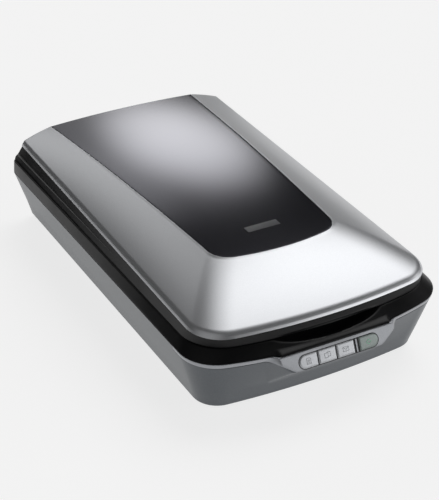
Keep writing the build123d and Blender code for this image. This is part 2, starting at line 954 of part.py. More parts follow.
def case_screws():
    """Four long screws that join the bezel to the lower case."""
    screws = []
    for x, y in columns():
        shank = rod(screw_shank, seam_height + screw_bite - screw_seat, x, y, screw_seat)
        screws.append(shank + rod(screw_head, screw_head_height, x, y, screw_seat - screw_head_height))
    return Compound(children=screws)


def transport_lock():
    """Sliding lock knob in the rear wall, with its guide plate inside."""
    reach = case_wall + 2 * lock_plate[1]
    z = lock_height - lock_knob[1] / 2
    knob = block(lock_knob[0], reach, lock_knob[1], lock_x, rear - port_recess - reach / 2, z)
    plate_y = rear - port_recess - reach + lock_plate[1] / 2
    plate_z = lock_height - lock_plate[2] / 2
    plate = block(lock_plate[0], lock_plate[1], lock_plate[2], lock_x, plate_y, plate_z)
    return knob + plate


# ------------------------------------------------------------------ carriage
def carriage_housing():
    """Moulded box that carries the optics, open upwards along the scan line."""
    width = 2 * carriage_half
    height = carriage_top - carriage_bottom
    box = block(width, carriage_depth, height, 0, carriage_home_y, carriage_bottom)
    inner_width = width - 2 * carriage_wall
    inner_depth = carriage_depth - 2 * carriage_wall
    box -= block(inner_width, inner_depth, height, 0, carriage_home_y, carriage_bottom + carriage_wall)
    runner_height = carriage_bottom - rail_top - runner_gap
    runner_bottom = rail_top + runner_gap
    box += block(rail_width - 2, runner_length, runner_height, rail_x, carriage_home_y, runner_bottom)
    saddle_height = lens_height - lens_radius - carriage_bottom
    return box + block(lens_radius, lens_radius, saddle_height, 0, carriage_home_y, carriage_bottom)


def rod_bushings():
    """Two plain bearings under the carriage that run on the guide rod."""
    bushes = []
    outer = rod_radius + bushing_wall
    for shift in (-1, 1):
        y = carriage_home_y + shift * (carriage_depth / 2 - bushing_length / 2)
        body = rod_along(along_y, outer, bushing_length, rod_x, y, rod_height)
        body += block(2 * outer, bushing_length, carriage_bottom - rod_height, rod_x, y, rod_height)
        body -= block(far, far, far, rod_x, y, carriage_bottom)
        bushes.append(body - rod_along(along_y, rod_radius + rod_fit, far, rod_x, y, rod_height))
    return Compound(children=bushes)


def scan_lamp():
    """Thin fluorescent tube across the carriage."""
    y = carriage_home_y - lamp_setback
    return rod_along(along_x, lamp_radius, carriage_inside, 0, y, carriage_top - lamp_drop)


def lamp_reflector():
    """Bent bright strip behind the lamp."""
    y = carriage_home_y - lamp_setback
    z = carriage_top - lamp_drop
    trough = rod_along(along_x, reflector_radius, carriage_inside, 0, y, z)
    trough -= rod_along(along_x, reflector_radius - reflector_sheet, far, 0, y, z)
    return trough - block(far, far, reflector_radius, 0, y, z + reflector_lip)


def scan_mirrors():
    """Four long mirrors that fold the light path."""
    mirrors = []
    for y, z, turn in mirrors_at:
        place = Pos(0, carriage_home_y + y, carriage_bottom + z) * Rotation(turn, 0, 0)
        mirrors.append(place * Box(carriage_inside, mirror_size[0], mirror_size[1]))
    return Compound(children=mirrors)


def lens_barrel():
    """Round lens between the mirrors and the sensor."""
    barrel = rod_along(along_y, lens_radius, lens_length, 0, carriage_home_y, lens_height)
    front_ring = lens_radius - lens_step
    return barrel + rod_along(along_y, front_ring, lens_length + 2, 0, carriage_home_y, lens_height)


def sensor_board():
    """Upright board with the line sensor, at the carriage's rear wall."""
    y = carriage_home_y + carriage_depth / 2 - carriage_wall - board_thickness / 2
    width, height = sensor_board_size
    board = block(width, board_thickness, height, sensor_board_x, y, carriage_bottom + carriage_wall + 1)
    length, thickness, tall = sensor_chip
    chip_y = y - thickness / 2
    return board + block(length, thickness, tall, sensor_board_x, chip_y, carriage_bottom + 10)


def belt_clip():
    """Clip under the carriage that grips one run of the belt."""
    run_x = drive_x - pulley_radius - belt_gap - belt_thickness / 2
    bottom = belt_bottom - 0.5
    width, depth = clip_size
    clip = block(width, depth, carriage_bottom - bottom, run_x, carriage_home_y, bottom)
    slot_width = belt_thickness + clip_play
    slot_height = belt_width + 2 * clip_play
    slot = block(slot_width, 2 * depth, slot_height, run_x, carriage_home_y, bottom - 0.2)
    return clip - slot


# ------------------------------------------------------------------ hinges
def hinge_posts():
    """Two upright posts that slide in the base and carry the hinge knuckles."""
    posts = []
    for side in (-1, 1):
        x = side * hinge_x
        foot = block(post_width, post_depth, lid_bottom + ear_gap - post_bottom, x, post_y, post_bottom)
        top = 2 * knuckle_radius
        start = post_y - post_depth / 2
        depth = hinge_y - start
        head = block(post_width, depth, top, x, start + depth / 2, hinge_height - knuckle_radius)
        head += rod_along(along_x, knuckle_radius, post_width, x, hinge_y, hinge_height)
        posts.append(foot + head - rod_along(along_x, pin_radius, far, x, hinge_y, hinge_height))
    return Compound(children=posts)


def hinge_pins():
    """Steel pins through the knuckles and the brackets' ears."""
    length = post_width + 2 * (ear_gap + ear_thickness)
    pins = []
    for side in (-1, 1):
        pins.append(rod_along(along_x, pin_radius, length, side * hinge_x, hinge_y, hinge_height))
    return Compound(children=pins)


def hinge_brackets():
    """Steel brackets with two ears each, fixed inside the lid."""
    brackets = []
    plate_bottom = inner_plate_height + inner_plate
    plate_length = bracket_length
    ear_x = post_width / 2 + ear_gap + ear_thickness / 2
    for side in (-1, 1):
        x = side * hinge_x
        width = 2 * ear_x + ear_thickness
        plate_y = hinge_y + 2 - plate_length / 2
        plate = block(width, plate_length, bracket_thickness, x, plate_y, plate_bottom)
        for ear in (-1, 1):
            cheek_x = x + ear * ear_x
            plate += rod_along(along_x, knuckle_radius, ear_thickness, cheek_x, hinge_y, hinge_height)
            tall = plate_bottom - hinge_height
            plate += block(ear_thickness, 2 * knuckle_radius, tall, cheek_x, hinge_y, hinge_height)
        brackets.append(plate - rod_along(along_x, pin_radius + pin_fit, far, x, hinge_y, hinge_height))
    return Compound(children=brackets)


# ------------------------------------------------------------------ lid
def roof_form(inset, sink, crown_drop):
    """The silver lid from its lower edge to its crowned top, shrunk by inset and lowered by sink."""
    rim = rim_height - sink
    lower = edge_plan(0, inset)
    shoulder = edge_plan(rim, inset + rim_inset)
    top = panel_plan(roof_height + roof_lift - sink, roof_slope, inset - panel_gap - 1)
    return loft([lower, shoulder, top], ruled=True) & crown_solid(crown_drop)


def lid_shell():
    """Silver lid cover, hollow below, with a shallow seat for the dark panel."""
    shell = roof_form(0, 0, 0) - roof_form(lid_wall, lid_wall, lid_wall + panel_thickness)
    seat = extrude(panel_plan(table_height, 0, -panel_gap), far)
    back = block(2 * overall_width, 10, far, 0, lid_rear + 5, 0)
    return shell - (seat - crown_solid(panel_thickness)) - back


def lid_panel():
    """Glossy near-black panel let into the lid's top."""
    area = extrude(panel_plan(table_height, 0), far)
    body = (area & crown_solid(0)) - crown_solid(panel_thickness)
    return body - badge_seat(badge_gap)


def badge_seat(gap):
    """The upright space of the name plate's recess in the panel, grown by gap."""
    y = front + badge_setback
    area = block(badge_length + 2 * gap, badge_width + 2 * gap, far, 0, y, table_height)
    return area - crown_solid(badge_thickness - badge_proud)


def lid_badge():
    """Small blank name plate on the panel, lying on its crown."""
    return badge_seat(0.0) & crown_solid(-badge_proud)


def skirt_form(inset, bottom):
    """The black skirt under the silver edge, shrunk by inset."""
    lower = plan(
        bottom,
        0,
        half_width - table_side_inset,
        half_width - table_rear_side_inset - skirt_rear_inset,
        base_front + table_front_inset,
        table_bow,
        table_corner,
        lid_rear,
        lid_rear_corner,
        inset,
    )
    return loft([lower, edge_plan(0, inset + skirt_tuck)], ruled=True)


def lid_frame():
    """Black inner frame of the lid: skirt, inner plate, film window and hinge notches."""
    ring = skirt_form(0, lid_bottom) - skirt_form(skirt_wall, lid_bottom)
    plate = skirt_form(skirt_wall, lid_bottom) & block(
        2 * overall_width, 2 * overall_depth, inner_plate, 0, 0, inner_plate_height
    )
    frame = ring + plate
    frame -= block(window_width, window_length, far, 0, glass_centre_y, 0)
    for side in (-1, 1):
        width = post_width + 2 * (ear_gap + ear_thickness + notch_margin)
        frame -= block(width, notch_size[0], notch_size[1], side * hinge_x, hinge_y + 4, lid_bottom - 1)
    radius = lid_rear - hinge_y
    corner = block(2 * overall_width, 2 * radius, radius, 0, hinge_y + radius, lid_bottom - 0.01)
    corner -= rod_along(along_x, radius, 2 * overall_width, 0, hinge_y, hinge_height)
    return frame - corner


def document_mat():
    """White foam-backed mat that presses originals on the glass."""
    width = scan_width + 2 * mat_margin
    length = scan_length + 2 * mat_margin
    height = inner_plate_height - lid_bottom
    mat = block(width, length, height, 0, glass_centre_y, lid_bottom)
    return fillet(mat.edges().filter_by(Axis.Z), mat_corner)


def light_housing():
    """White reflector box of the film light."""
    width = window_width + 2 * housing_margin
    length = window_length + 2 * housing_margin
    bottom = inner_plate_height + inner_plate
    box = block(width, length, housing_height, 0, glass_centre_y, bottom)
    inner = (width - 2 * housing_wall, length - 2 * housing_wall)
    return box - block(inner[0], inner[1], housing_height - housing_wall, 0, glass_centre_y, bottom)


def film_lamp():
    """Two thin lamp tubes along the film window."""
    bottom = inner_plate_height + inner_plate
    tubes = []
    for side in (-1, 1):
        x = side * (window_width / 2 - tube_margin)
        length = window_length + 2 * (housing_margin - housing_wall)
        tubes.append(rod_along(along_y, lamp_radius, length, x, glass_centre_y, bottom + 5))
    return Compound(children=tubes)


def film_diffuser():
    """Opal sheet in the film window."""
    return block(
        window_width - 2 * glass_fit,
        window_length - 2 * glass_fit,
        inner_plate,
        0,
        glass_centre_y,
        inner_plate_height,
    )


def inverter_board():
    """Lamp supply board beside the film light."""
    bottom = inner_plate_height + inner_plate
    x = window_width / 2 + housing_margin + inverter_size[1] / 2 + inverter_gap
    board = block(inverter_size[1], inverter_size[0], board_thickness, x, glass_centre_y, bottom)
    width, length, height = transformer
    y = glass_centre_y + transformer_shift
    return board + block(width, length, height, x, y, bottom + board_thickness)


def lid_screws():
    """Four screws that hold the film light to the lid's inner plate."""
    screws = []
    bottom = inner_plate_height + inner_plate
    x = window_width / 2 + housing_margin + lid_screw_gap
    half_length = window_length / 2 - lid_screw_end
    for side in (-1, 1):
        for end in (-1, 1):
            y = glass_centre_y + end * half_length
            screws.append(rod(screw_head, screw_head_height, side * x, y, bottom))
    return Compound(children=screws)


# ------------------------------------------------------------------ all nodes
nodes = {
    "lower_case": lower_case,
    "upper_bezel": upper_bezel,
    "control_trim": control_trim,
    "document_glass": document_glass,
    "calibration_strip": calibration_strip,
    "button_board": button_board,
    "guide_rod": guide_rod,
    "rod_clips": rod_clips,
    "slide_rail": slide_rail,
    "drive_belt": drive_belt,
    "pulley_axles": axles,
    "drive_motor": drive_motor,
    "motor_bracket": motor_bracket,
    "gear_plate": gear_plate,
    "idler_bracket": idler_bracket,
    "tension_spring": tension_spring,
    "main_board": main_board,
    "board_screws": board_screws,
    "power_jack": power_jack,
    "usb_port": usb_port,
    "option_port": option_port,
    "flat_cable": flat_cable,
    "home_sensor": home_sensor,
    "rubber_feet": rubber_feet,
    "case_screws": case_screws,
    "transport_lock": transport_lock,
    "motor_pinion": motor_pinion,
    "reduction_gear": reduction_gear,
    "idler_pulley": idler_pulley,
    "carriage_housing": carriage_housing,
    "rod_bushings": rod_bushings,
    "scan_lamp": scan_lamp,
    "lamp_reflector": lamp_reflector,
    "scan_mirrors": scan_mirrors,
    "lens_barrel": lens_barrel,
    "sensor_board": sensor_board,
    "belt_clip": belt_clip,
    "hinge_posts": hinge_posts,
    "hinge_pins": hinge_pins,
    "hinge_brackets": hinge_brackets,
    "lid_shell": lid_shell,
    "lid_panel": lid_panel,
    "lid_badge": lid_badge,
    "lid_frame": lid_frame,
    "document_mat": document_mat,
    "light_housing": light_housing,
    "film_lamp": film_lamp,
    "film_diffuser": film_diffuser,
    "inverter_board": inverter_board,
    "lid_screws": lid_screws,
}

os.makedirs("parts", exist_ok=True)
for name, make in nodes.items():
    export_step(make(), f"parts/{name}.step")
for name, (left, width) in buttons().items():
    export_step(button(left, width), f"parts/{name}.step")
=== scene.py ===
import bpy
import bmesh
import math
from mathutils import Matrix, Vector


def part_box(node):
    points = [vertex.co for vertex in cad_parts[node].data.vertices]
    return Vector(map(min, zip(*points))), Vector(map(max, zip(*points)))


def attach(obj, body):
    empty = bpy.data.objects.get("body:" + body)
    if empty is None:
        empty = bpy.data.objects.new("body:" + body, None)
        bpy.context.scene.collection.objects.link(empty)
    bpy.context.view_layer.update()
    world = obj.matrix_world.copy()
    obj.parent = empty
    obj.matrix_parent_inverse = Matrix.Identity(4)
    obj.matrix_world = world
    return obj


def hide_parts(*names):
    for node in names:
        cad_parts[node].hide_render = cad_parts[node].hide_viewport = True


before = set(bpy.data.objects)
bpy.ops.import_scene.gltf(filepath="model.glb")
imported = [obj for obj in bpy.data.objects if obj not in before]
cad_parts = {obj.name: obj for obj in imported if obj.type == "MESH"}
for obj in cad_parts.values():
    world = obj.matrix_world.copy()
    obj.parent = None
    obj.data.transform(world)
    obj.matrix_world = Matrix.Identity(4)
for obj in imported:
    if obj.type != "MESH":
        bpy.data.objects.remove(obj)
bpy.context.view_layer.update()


# ---- Studio
# The camera stands to the front left, above the lid. The floor is one wide pale sheet that
# glows a little, as a lit white sweep does. Large soft lights hang behind and above.
camera_data = bpy.data.cameras.new("view")
camera_data.lens = 105.1
camera_data.sensor_width = 36.0
camera = bpy.data.objects.new("view", camera_data)
camera.location = (-0.6249, -1.1497, 0.8378)
view_turn = math.radians(28.54)
view_drop = math.radians(31.27)
view_axis = Vector(
    (
        math.sin(view_turn) * math.cos(view_drop),
        math.cos(view_turn) * math.cos(view_drop),
        -math.sin(view_drop),
    )
)
camera.rotation_euler = view_axis.to_track_quat("-Z", "Y").to_euler()
bpy.context.scene.collection.objects.link(camera)
bpy.context.scene.camera = camera
bpy.context.scene.view_settings.view_transform = "Standard"


def new_material(name, colour, roughness, metallic=0.0, specular=0.5):
    """A principled material with its constants set."""
    material = bpy.data.materials.new(name)
    material.use_nodes = True
    shader = material.node_tree.nodes["Principled BSDF"]
    shader.inputs["Base Color"].default_value = (*colour, 1.0)
    shader.inputs["Roughness"].default_value = roughness
    shader.inputs["Metallic"].default_value = metallic
    shader.inputs["Specular IOR Level"].default_value = specular
    return material


def set_input(material, name, value):
    """Sets one of a material's shader constants."""
    material.node_tree.nodes["Principled BSDF"].inputs[name].default_value = value


def noise_of(material, scale, detail=2.0, stretch=(1.0, 1.0, 1.0)):
    """A noise texture in the object's own space."""
    nodes = material.node_tree.nodes
    place = nodes.new("ShaderNodeTexCoord")
    mapping = nodes.new("ShaderNodeMapping")
    mapping.inputs["Scale"].default_value = stretch
    noise = nodes.new("ShaderNodeTexNoise")
    noise.inputs["Scale"].default_value = scale
    noise.inputs["Detail"].default_value = detail
    links = material.node_tree.links
    links.new(place.outputs["Object"], mapping.inputs["Vector"])
    links.new(mapping.outputs["Vector"], noise.inputs["Vector"])
    return noise


def mottle(material, dark, light, scale, detail=2.0, stretch=(1.0, 1.0, 1.0)):
    """Varies the base colour between two close tones."""
    noise = noise_of(material, scale, detail, stretch)
    ramp = material.node_tree.nodes.new("ShaderNodeValToRGB")
    ramp.color_ramp.elements[0].position = 0.35
    ramp.color_ramp.elements[0].color = (*dark, 1.0)
    ramp.color_ramp.elements[1].position = 0.65
    ramp.color_ramp.elements[1].color = (*light, 1.0)
    shader = material.node_tree.nodes["Principled BSDF"]
    material.node_tree.links.new(noise.outputs["Fac"], ramp.inputs["Fac"])
    material.node_tree.links.new(ramp.outputs["Color"], shader.inputs["Base Color"])


def grain(material, scale, strength, distance, detail=3.0, stretch=(1.0, 1.0, 1.0)):
    """Adds a fine moulded, painted or brushed grain as bump, with its height in metres."""
    noise = noise_of(material, scale, detail, stretch)
    bump = material.node_tree.nodes.new("ShaderNodeBump")
    bump.inputs["Strength"].default_value = strength
    bump.inputs["Distance"].default_value = distance
    shader = material.node_tree.nodes["Principled BSDF"]
    material.node_tree.links.new(noise.outputs["Fac"], bump.inputs["Height"])
    material.node_tree.links.new(bump.outputs["Normal"], shader.inputs["Normal"])


def vary_gloss(material, low, high, scale):
    """Lets the roughness drift between two close values, as handling leaves it."""
    noise = noise_of(material, scale)
    spread = material.node_tree.nodes.new("ShaderNodeMapRange")
    spread.inputs["From Min"].default_value = 0.3
    spread.inputs["From Max"].default_value = 0.7
    spread.inputs["To Min"].default_value = low
    spread.inputs["To Max"].default_value = high
    shader = material.node_tree.nodes["Principled BSDF"]
    material.node_tree.links.new(noise.outputs["Fac"], spread.inputs["Value"])
    material.node_tree.links.new(spread.outputs["Result"], shader.inputs["Roughness"])


floor_half = 14.0
floor_mesh = bpy.data.meshes.new("floor")
floor_mesh.from_pydata(
    [(x * floor_half, y * floor_half, 0.0) for x, y in ((-1, -1), (1, -1), (1, 1), (-1, 1))],
    [],
    [(0, 1, 2, 3)],
)
floor = bpy.data.objects.new("floor", floor_mesh)
bpy.context.scene.collection.objects.link(floor)
floor_paint = new_material("floor_paint", (0.30, 0.30, 0.30), 0.95, 0.0, 0.0)
mottle(floor_paint, (0.298, 0.298, 0.298), (0.302, 0.302, 0.302), 3.0)
set_input(floor_paint, "Emission Color", (1.0, 1.0, 1.0, 1.0))
set_input(floor_paint, "Emission Strength", 0.765)
floor_mesh.materials.append(floor_paint)

world = bpy.data.worlds.new("studio")
bpy.context.scene.world = world
world.use_nodes = True
sky = world.node_tree
background = sky.nodes["Background"]
background.inputs["Color"].default_value = (1.0, 1.0, 1.0, 1.0)
direction = sky.nodes.new("ShaderNodeTexCoord")
ambient = 0.045
# Each soft light: turn from +Y towards +X, height, half angles of its full and fading parts,
# and its brightness.
soft_lights = [
    (26.5, 22.6, 0.4, 6.6, 5.2),
    (19.0, 29.0, 0.4, 6.0, 0.9),
    (21.0, 23.0, 1.0, 11.0, 0.8),
    (-1.0, 33.0, 3.0, 16.0, 0.98),
    (57.0, 55.0, 8.0, 30.0, 2.1),
    (40.0, 2.0, 3.0, 15.0, 0.28),
    (142.0, 4.0, 6.0, 28.0, 2.1),
    (108.0, 10.0, 4.0, 28.0, 1.3),
    (-115.0, 38.0, 6.0, 44.0, 0.30),
]
total = None
for turn, height, full, fade, strength in soft_lights:
    flat = math.cos(math.radians(height))
    aim = (
        math.sin(math.radians(turn)) * flat,
        math.cos(math.radians(turn)) * flat,
        math.sin(math.radians(height)),
    )
    facing = sky.nodes.new("ShaderNodeVectorMath")
    facing.operation = "DOT_PRODUCT"
    facing.inputs[1].default_value = aim
    sky.links.new(direction.outputs["Generated"], facing.inputs[0])
    falloff = sky.nodes.new("ShaderNodeMapRange")
    falloff.interpolation_type = "SMOOTHSTEP"
    falloff.inputs["From Min"].default_value = math.cos(math.radians(fade))
    falloff.inputs["From Max"].default_value = math.cos(math.radians(full))
    falloff.inputs["To Min"].default_value = 0.0
    falloff.inputs["To Max"].default_value = strength
    sky.links.new(facing.outputs["Value"], falloff.inputs["Value"])
    add = sky.nodes.new("ShaderNodeMath")
    add.operation = "ADD"
    add.inputs[0].default_value = ambient
    if total is not None:
        sky.links.new(total.outputs[0], add.inputs[0])
    sky.links.new(falloff.outputs["Result"], add.inputs[1])
    total = add
sky.links.new(total.outputs[0], background.inputs["Strength"])


# ---- Lower case
# The silver-grey tub that everything stands in: a short upright foot, a soft crease, then a
# wall that flares out to the seam. It is moulded plastic with a fine metallic grey paint.
case_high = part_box("lower_case")[1]
feet_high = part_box("rubber_feet")[1]
base_back = case_high.y
widest = case_high.x
foot_level = feet_high.z
crease_level = 0.025
seam_level = 0.0652
seam_slope = -0.010
base_nose = -0.2285
case_wall = 0.0026
strip_height = 0.0057
strip_depth = 0.0016
strip_end = -0.162
lean = math.radians(24.0)
chin_slope = math.tan(lean)
chin_level = 0.0508
chin_nose = -0.235
chin_root = -0.200
chin_root_level = 0.021
plate_back = 0.0022
lock_x = 0.110
lock_level = 0.040
lock_slot = 0.0146
cut_depth = 0.012
case_corner = 0.008


def soft_min(a, b, width):
    """The smaller of two values, rounded where they cross."""
    h = max(0.0, min(1.0, 0.5 + 0.5 * (b - a) / width))
    return b * (1 - h) + a * h - width * h * (1 - h)


def soft_max(a, b, width):
    """The larger of two values, rounded where they cross."""
    return -soft_min(-a, -b, width)


def outline(side_front, side_back, nose, bow, corner, back, back_corner, marks=None):
    """Level points from the back left, round the bowed front, to the back right."""
    reach = (side_front**2 + bow**2) / (2 * bow)
    hub = nose + reach
    corner_x = corner - side_front
    corner_y = hub - math.sqrt((reach - corner) ** 2 - corner_x**2)
    end_angle = math.atan2(corner_y - hub, corner_x) % (2 * math.pi)
    left = []
    for i in range(5):
        angle = math.pi / 2 + math.pi / 2 * i / 4
        x = back_corner - side_back + back_corner * math.cos(angle)
        left.append((x, back - back_corner + back_corner * math.sin(angle)))
    start = back - back_corner
    if marks is None:
        heights = [start + (corner_y - start) * i / 26 for i in range(1, 26)]
    else:
        heights = [start + (marks[0] - start) * i / 24 for i in range(1, 24)] + list(marks)
    for y in heights:
        t = (start - y) / (start - corner_y)
        left.append((-side_back + (side_back - side_front) * t, y))
    for i in range(14):
        angle = math.pi + (end_angle - math.pi) * i / 14
        left.append((corner_x + corner * math.cos(angle), corner_y + corner * math.sin(angle)))
    join_x = corner_x + corner * math.cos(end_angle)
    points = list(left)
    for i in range(131):
        x = join_x - 2 * join_x * i / 130
        points.append((x, hub - math.sqrt(reach**2 - x**2)))
    points.extend((-x, y) for x, y in reversed(left))
    return points


strip_marks = (strip_end + 0.0002, strip_end - 0.0002)


foot_shape = (0.1205, 0.1205, -0.2008, 0.0084, 0.026)
crease_shape = (0.1252, 0.1252, -0.2069, 0.010, 0.029)
seam_shape = (widest, widest, base_nose, 0.0251, 0.0402)


def case_outline(shape, inset):
    """One of the case's outlines, drawn in all round."""
    side_front, side_back, nose, bow, corner = shape
    return outline(
        side_front - inset,
        side_back - inset,
        nose + inset,
        bow,
        corner - inset,
        base_back - inset,
        case_corner,
        strip_marks,
    )


def foot_ring(level, inset=0.0):
    """The foot's outline at a height."""
    return [(x, y, level) for x, y in case_outline(foot_shape, inset)]


def crease_ring(inset=0.0):
    """The crease's outline."""
    return [(x, y, crease_level) for x, y in case_outline(crease_shape, inset)]


def seam_ring(inset=0.0, lift=0.0):
    """The widest outline, on the slightly tilted seam."""
    flat = case_outline(seam_shape, inset)
    return [(x, y, seam_level + seam_slope * y + lift) for x, y in flat]


def between(low_ring, high_ring, t):
    """A ring part of the way between two rings."""
    return [tuple(a + (b - a) * t for a, b in zip(p, q)) for p, q in zip(low_ring, high_ring)]


def chin_surface(x, z):
    """How far forward the bulge behind the button panel reaches at a place."""
    back_level = chin_level - plate_back * math.sin(lean)
    front_y = chin_nose + plate_back
    under = chin_root + (z - chin_root_level) * (front_y - chin_root) / (back_level - chin_root_level)
    side = -0.2273 + (0.975 * (abs(x) - 0.062) - 0.716 * (z - 0.0605))
    face = front_y + (z - back_level) * chin_slope
    return soft_max(soft_max(under, side, 0.0016), face, 0.0008)


def with_chin(ring):
    """A ring of the case wall, pushed forwards where the chin bulges."""
    moved = []
    for x, y, z in ring:
        if y < -0.17 and abs(x) < 0.088 and z > chin_root_level:
            y = soft_min(y, chin_surface(x, z), 0.0022)
        moved.append((x, y, z))
    return moved


def loft_faces(count, levels, closed=True, wrap=False):
    """Quads between rings of points that are stored one after the other."""
    faces = []
    last = count if closed else count - 1
    for level in range(levels if wrap else levels - 1):
        a = level * count
        b = ((level + 1) % levels) * count
        for i in range(last):
            j = (i + 1) % count
            faces.append((a + i, a + j, b + j, b + i))
    return faces


def capped(rings):
    """Points and faces of a stack of rings, closed at both ends."""
    size = len(rings[0])
    faces = loft_faces(size, len(rings))
    faces.append(tuple(range(size)))
    faces.append(tuple(range((len(rings) - 1) * size, len(rings) * size)))
    return [p for ring in rings for p in ring], faces


def new_solid(name, points, faces):
    """A closed mesh object, cleaned of doubled points, with its faces turned outwards."""
    mesh = bpy.data.meshes.new(name)
    mesh.from_pydata([tuple(p) for p in points], [], faces)
    shape = bmesh.new()
    shape.from_mesh(mesh)
    bmesh.ops.remove_doubles(shape, verts=shape.verts, dist=2e-6)
    bmesh.ops.dissolve_degenerate(shape, edges=shape.edges, dist=1e-7)
    bmesh.ops.recalc_face_normals(shape, faces=shape.faces)
    shape.to_mesh(mesh)
    shape.free()
    piece = bpy.data.objects.new(name, mesh)
    bpy.context.scene.collection.objects.link(piece)
    return piece


def apply_modifiers(piece):
    """Makes a piece's modifiers part of its mesh."""
    graph = bpy.context.evaluated_depsgraph_get()
    graph.update()
    mesh = bpy.data.meshes.new_from_object(piece.evaluated_get(graph))
    piece.modifiers.clear()
    piece.data = mesh


def carve(piece, cutter):
    """Cuts one solid out of another and removes the cutter."""
    change = piece.modifiers.new("carve", "BOOLEAN")
    change.operation = "DIFFERENCE"
    change.object = cutter
    change.solver = "EXACT"
    apply_modifiers(piece)
    bpy.data.objects.remove(cutter)


def box_points(centre, size):
    """Corner points and faces of a block."""
    points = []
    for sx in (-0.5, 0.5):
        for sy in (-0.5, 0.5):
            for sz in (-0.5, 0.5):
                points.append((centre[0] + sx * size[0], centre[1] + sy * size[1], centre[2] + sz * size[2]))
    return points, [(0, 1, 3, 2), (4, 6, 7, 5), (0, 4, 5, 1), (2, 3, 7, 6), (0, 2, 6, 4), (1, 5, 7, 3)]


def turned(profile, x, y, steps=32):
    """Points and faces of a profile of radius and height turned about an upright line."""
    rings = []
    for radius, z in profile:
        ring = []
        for i in range(steps):
            angle = 2 * math.pi * i / steps
            ring.append((x + radius * math.cos(angle), y + radius * math.sin(angle), z))
        rings.append(ring)
    return capped(rings)


def gather(parts):
    """Several separate point and face lists as one."""
    points = []
    faces = []
    for part_points, part_faces in parts:
        start = len(points)
        points.extend(part_points)
        faces.extend(tuple(start + i for i in face) for face in part_faces)
    return points, faces


def finish_piece(piece, material, body, slot, *nodes, sharp=32.0):
    """Smooths a piece except at sharp edges, gives it its finish and body, and hides the CAD nodes it stands
    for. The slot is not used.
    """
    shape = bmesh.new()
    shape.from_mesh(piece.data)
    limit = math.radians(sharp)
    for face in shape.faces:
        face.smooth = True
    for edge in shape.edges:
        if len(edge.link_faces) == 2:
            edge.smooth = edge.calc_face_angle(0.0) < limit
    shape.to_mesh(piece.data)
    shape.free()
    piece.data.materials.clear()
    piece.data.materials.append(material)
    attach(piece, body)
    if nodes:
        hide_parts(*nodes)


strip_share = 1 - strip_height / (seam_level - crease_level)
foot_top = foot_ring(foot_level + 0.003)
crease = crease_ring()
seam = seam_ring()
rings = [
    foot_ring(foot_level, 0.003),
    foot_ring(foot_level + 0.0003, 0.0020),
    foot_ring(foot_level + 0.0009, 0.0009),
    foot_ring(foot_level + 0.0018, 0.00025),
    foot_top,
]
for t in (0.3, 0.6, 0.8, 0.92):
    rings.append(with_chin(between(foot_top, crease, t)))
for t in [0.03 + (strip_share - 0.03) * i / 30 for i in range(31)]:
    rings.append(with_chin(between(crease, seam, t)))
step_ring = []
seat_ring = []
for p, q, r in zip(rings[-1], seam_ring(strip_depth), seam):
    if p[1] < strip_end:
        hidden = q[1] if abs(p[0]) > 0.064 else max(q[1], p[1] + 0.001)
        step_ring.append((q[0], max(hidden, p[1] + 0.0005), p[2]))
        seat_ring.append((q[0], hidden, q[2] - 0.0002))
    else:
        step_ring.append(p)
        seat_ring.append((r[0], r[1], r[2] - 0.0002))
rings.append(step_ring)
rings.append(seat_ring)
rings.append(seam_ring(case_wall, -0.0002))
rings.append(crease_ring(case_wall))
rings.append(foot_ring(foot_level + 0.003, case_wall))
lower_case = new_solid("lower_case_skin", *capped(rings))
head_radius = 0.0032
port_gap = 0.0006
screw_places = [(-0.088, -0.184), (0.088, -0.184), (-0.113, 0.211), (0.113, 0.211)]
cutters = []
for port in ("power_jack", "usb_port", "option_port"):
    low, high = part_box(port)
    centre = ((low.x + high.x) / 2, base_back, (low.z + high.z) / 2)
    opening = (high.x - low.x + port_gap, cut_depth, high.z - low.z + port_gap)
    cutters.append(box_points(centre, opening))
cutters.append(box_points((lock_x, base_back, lock_level), (lock_slot, cut_depth, 0.006)))
for x, y in screw_places:
    cutters.append(turned([(head_radius, -0.004), (head_radius, 0.012)], x, y, 24))
carve(lower_case, new_solid("case_cutters", *gather(cutters)))
column_radius = 0.0050
column_bottom = 0.0079
column_top = 0.0650
shank_radius = 0.0015
screw_seat = 0.0600
outer = [(column_radius, column_bottom), (column_radius, column_top)]
inner = [
    (shank_radius, column_top),
    (shank_radius, screw_seat),
    (head_radius, screw_seat),
    (head_radius, column_bottom),
]
tubes = [turned(outer + inner, x, y, 24) for x, y in screw_places]
tube_piece = new_solid("case_columns", *gather(tubes))
case_paint = new_material("case_paint", (0.098, 0.107, 0.117), 0.34, 0.30, 0.3)
mottle(case_paint, (0.091, 0.100, 0.110), (0.105, 0.114, 0.124), 900.0, 1.0)
grain(case_paint, 2400.0, 0.12, 0.00004)
finish_piece(lower_case, case_paint, "base", "silver_case", "lower_case")
finish_piece(tube_piece, case_paint, "base", "silver_case")


# ---- Control trim
# A lighter silver strip clipped into the top of the case round the front. It widens in the
# middle into the leaning plate that holds the buttons, with rounded upper and lower edges.
plate_half_top = 0.062
plate_half_low = 0.0485
shoulder_level = 0.0600


def trim_bottom(x, y):
    """The height of the trim's lower edge."""
    strip_line = seam_level + seam_slope * y - strip_height + 0.0002
    rise = (shoulder_level - chin_level) / (plate_half_top - plate_half_low)
    plate_line = chin_level + (abs(x) - plate_half_low) * rise
    return soft_min(soft_max(chin_level, plate_line, 0.0022), strip_line, 0.0026)


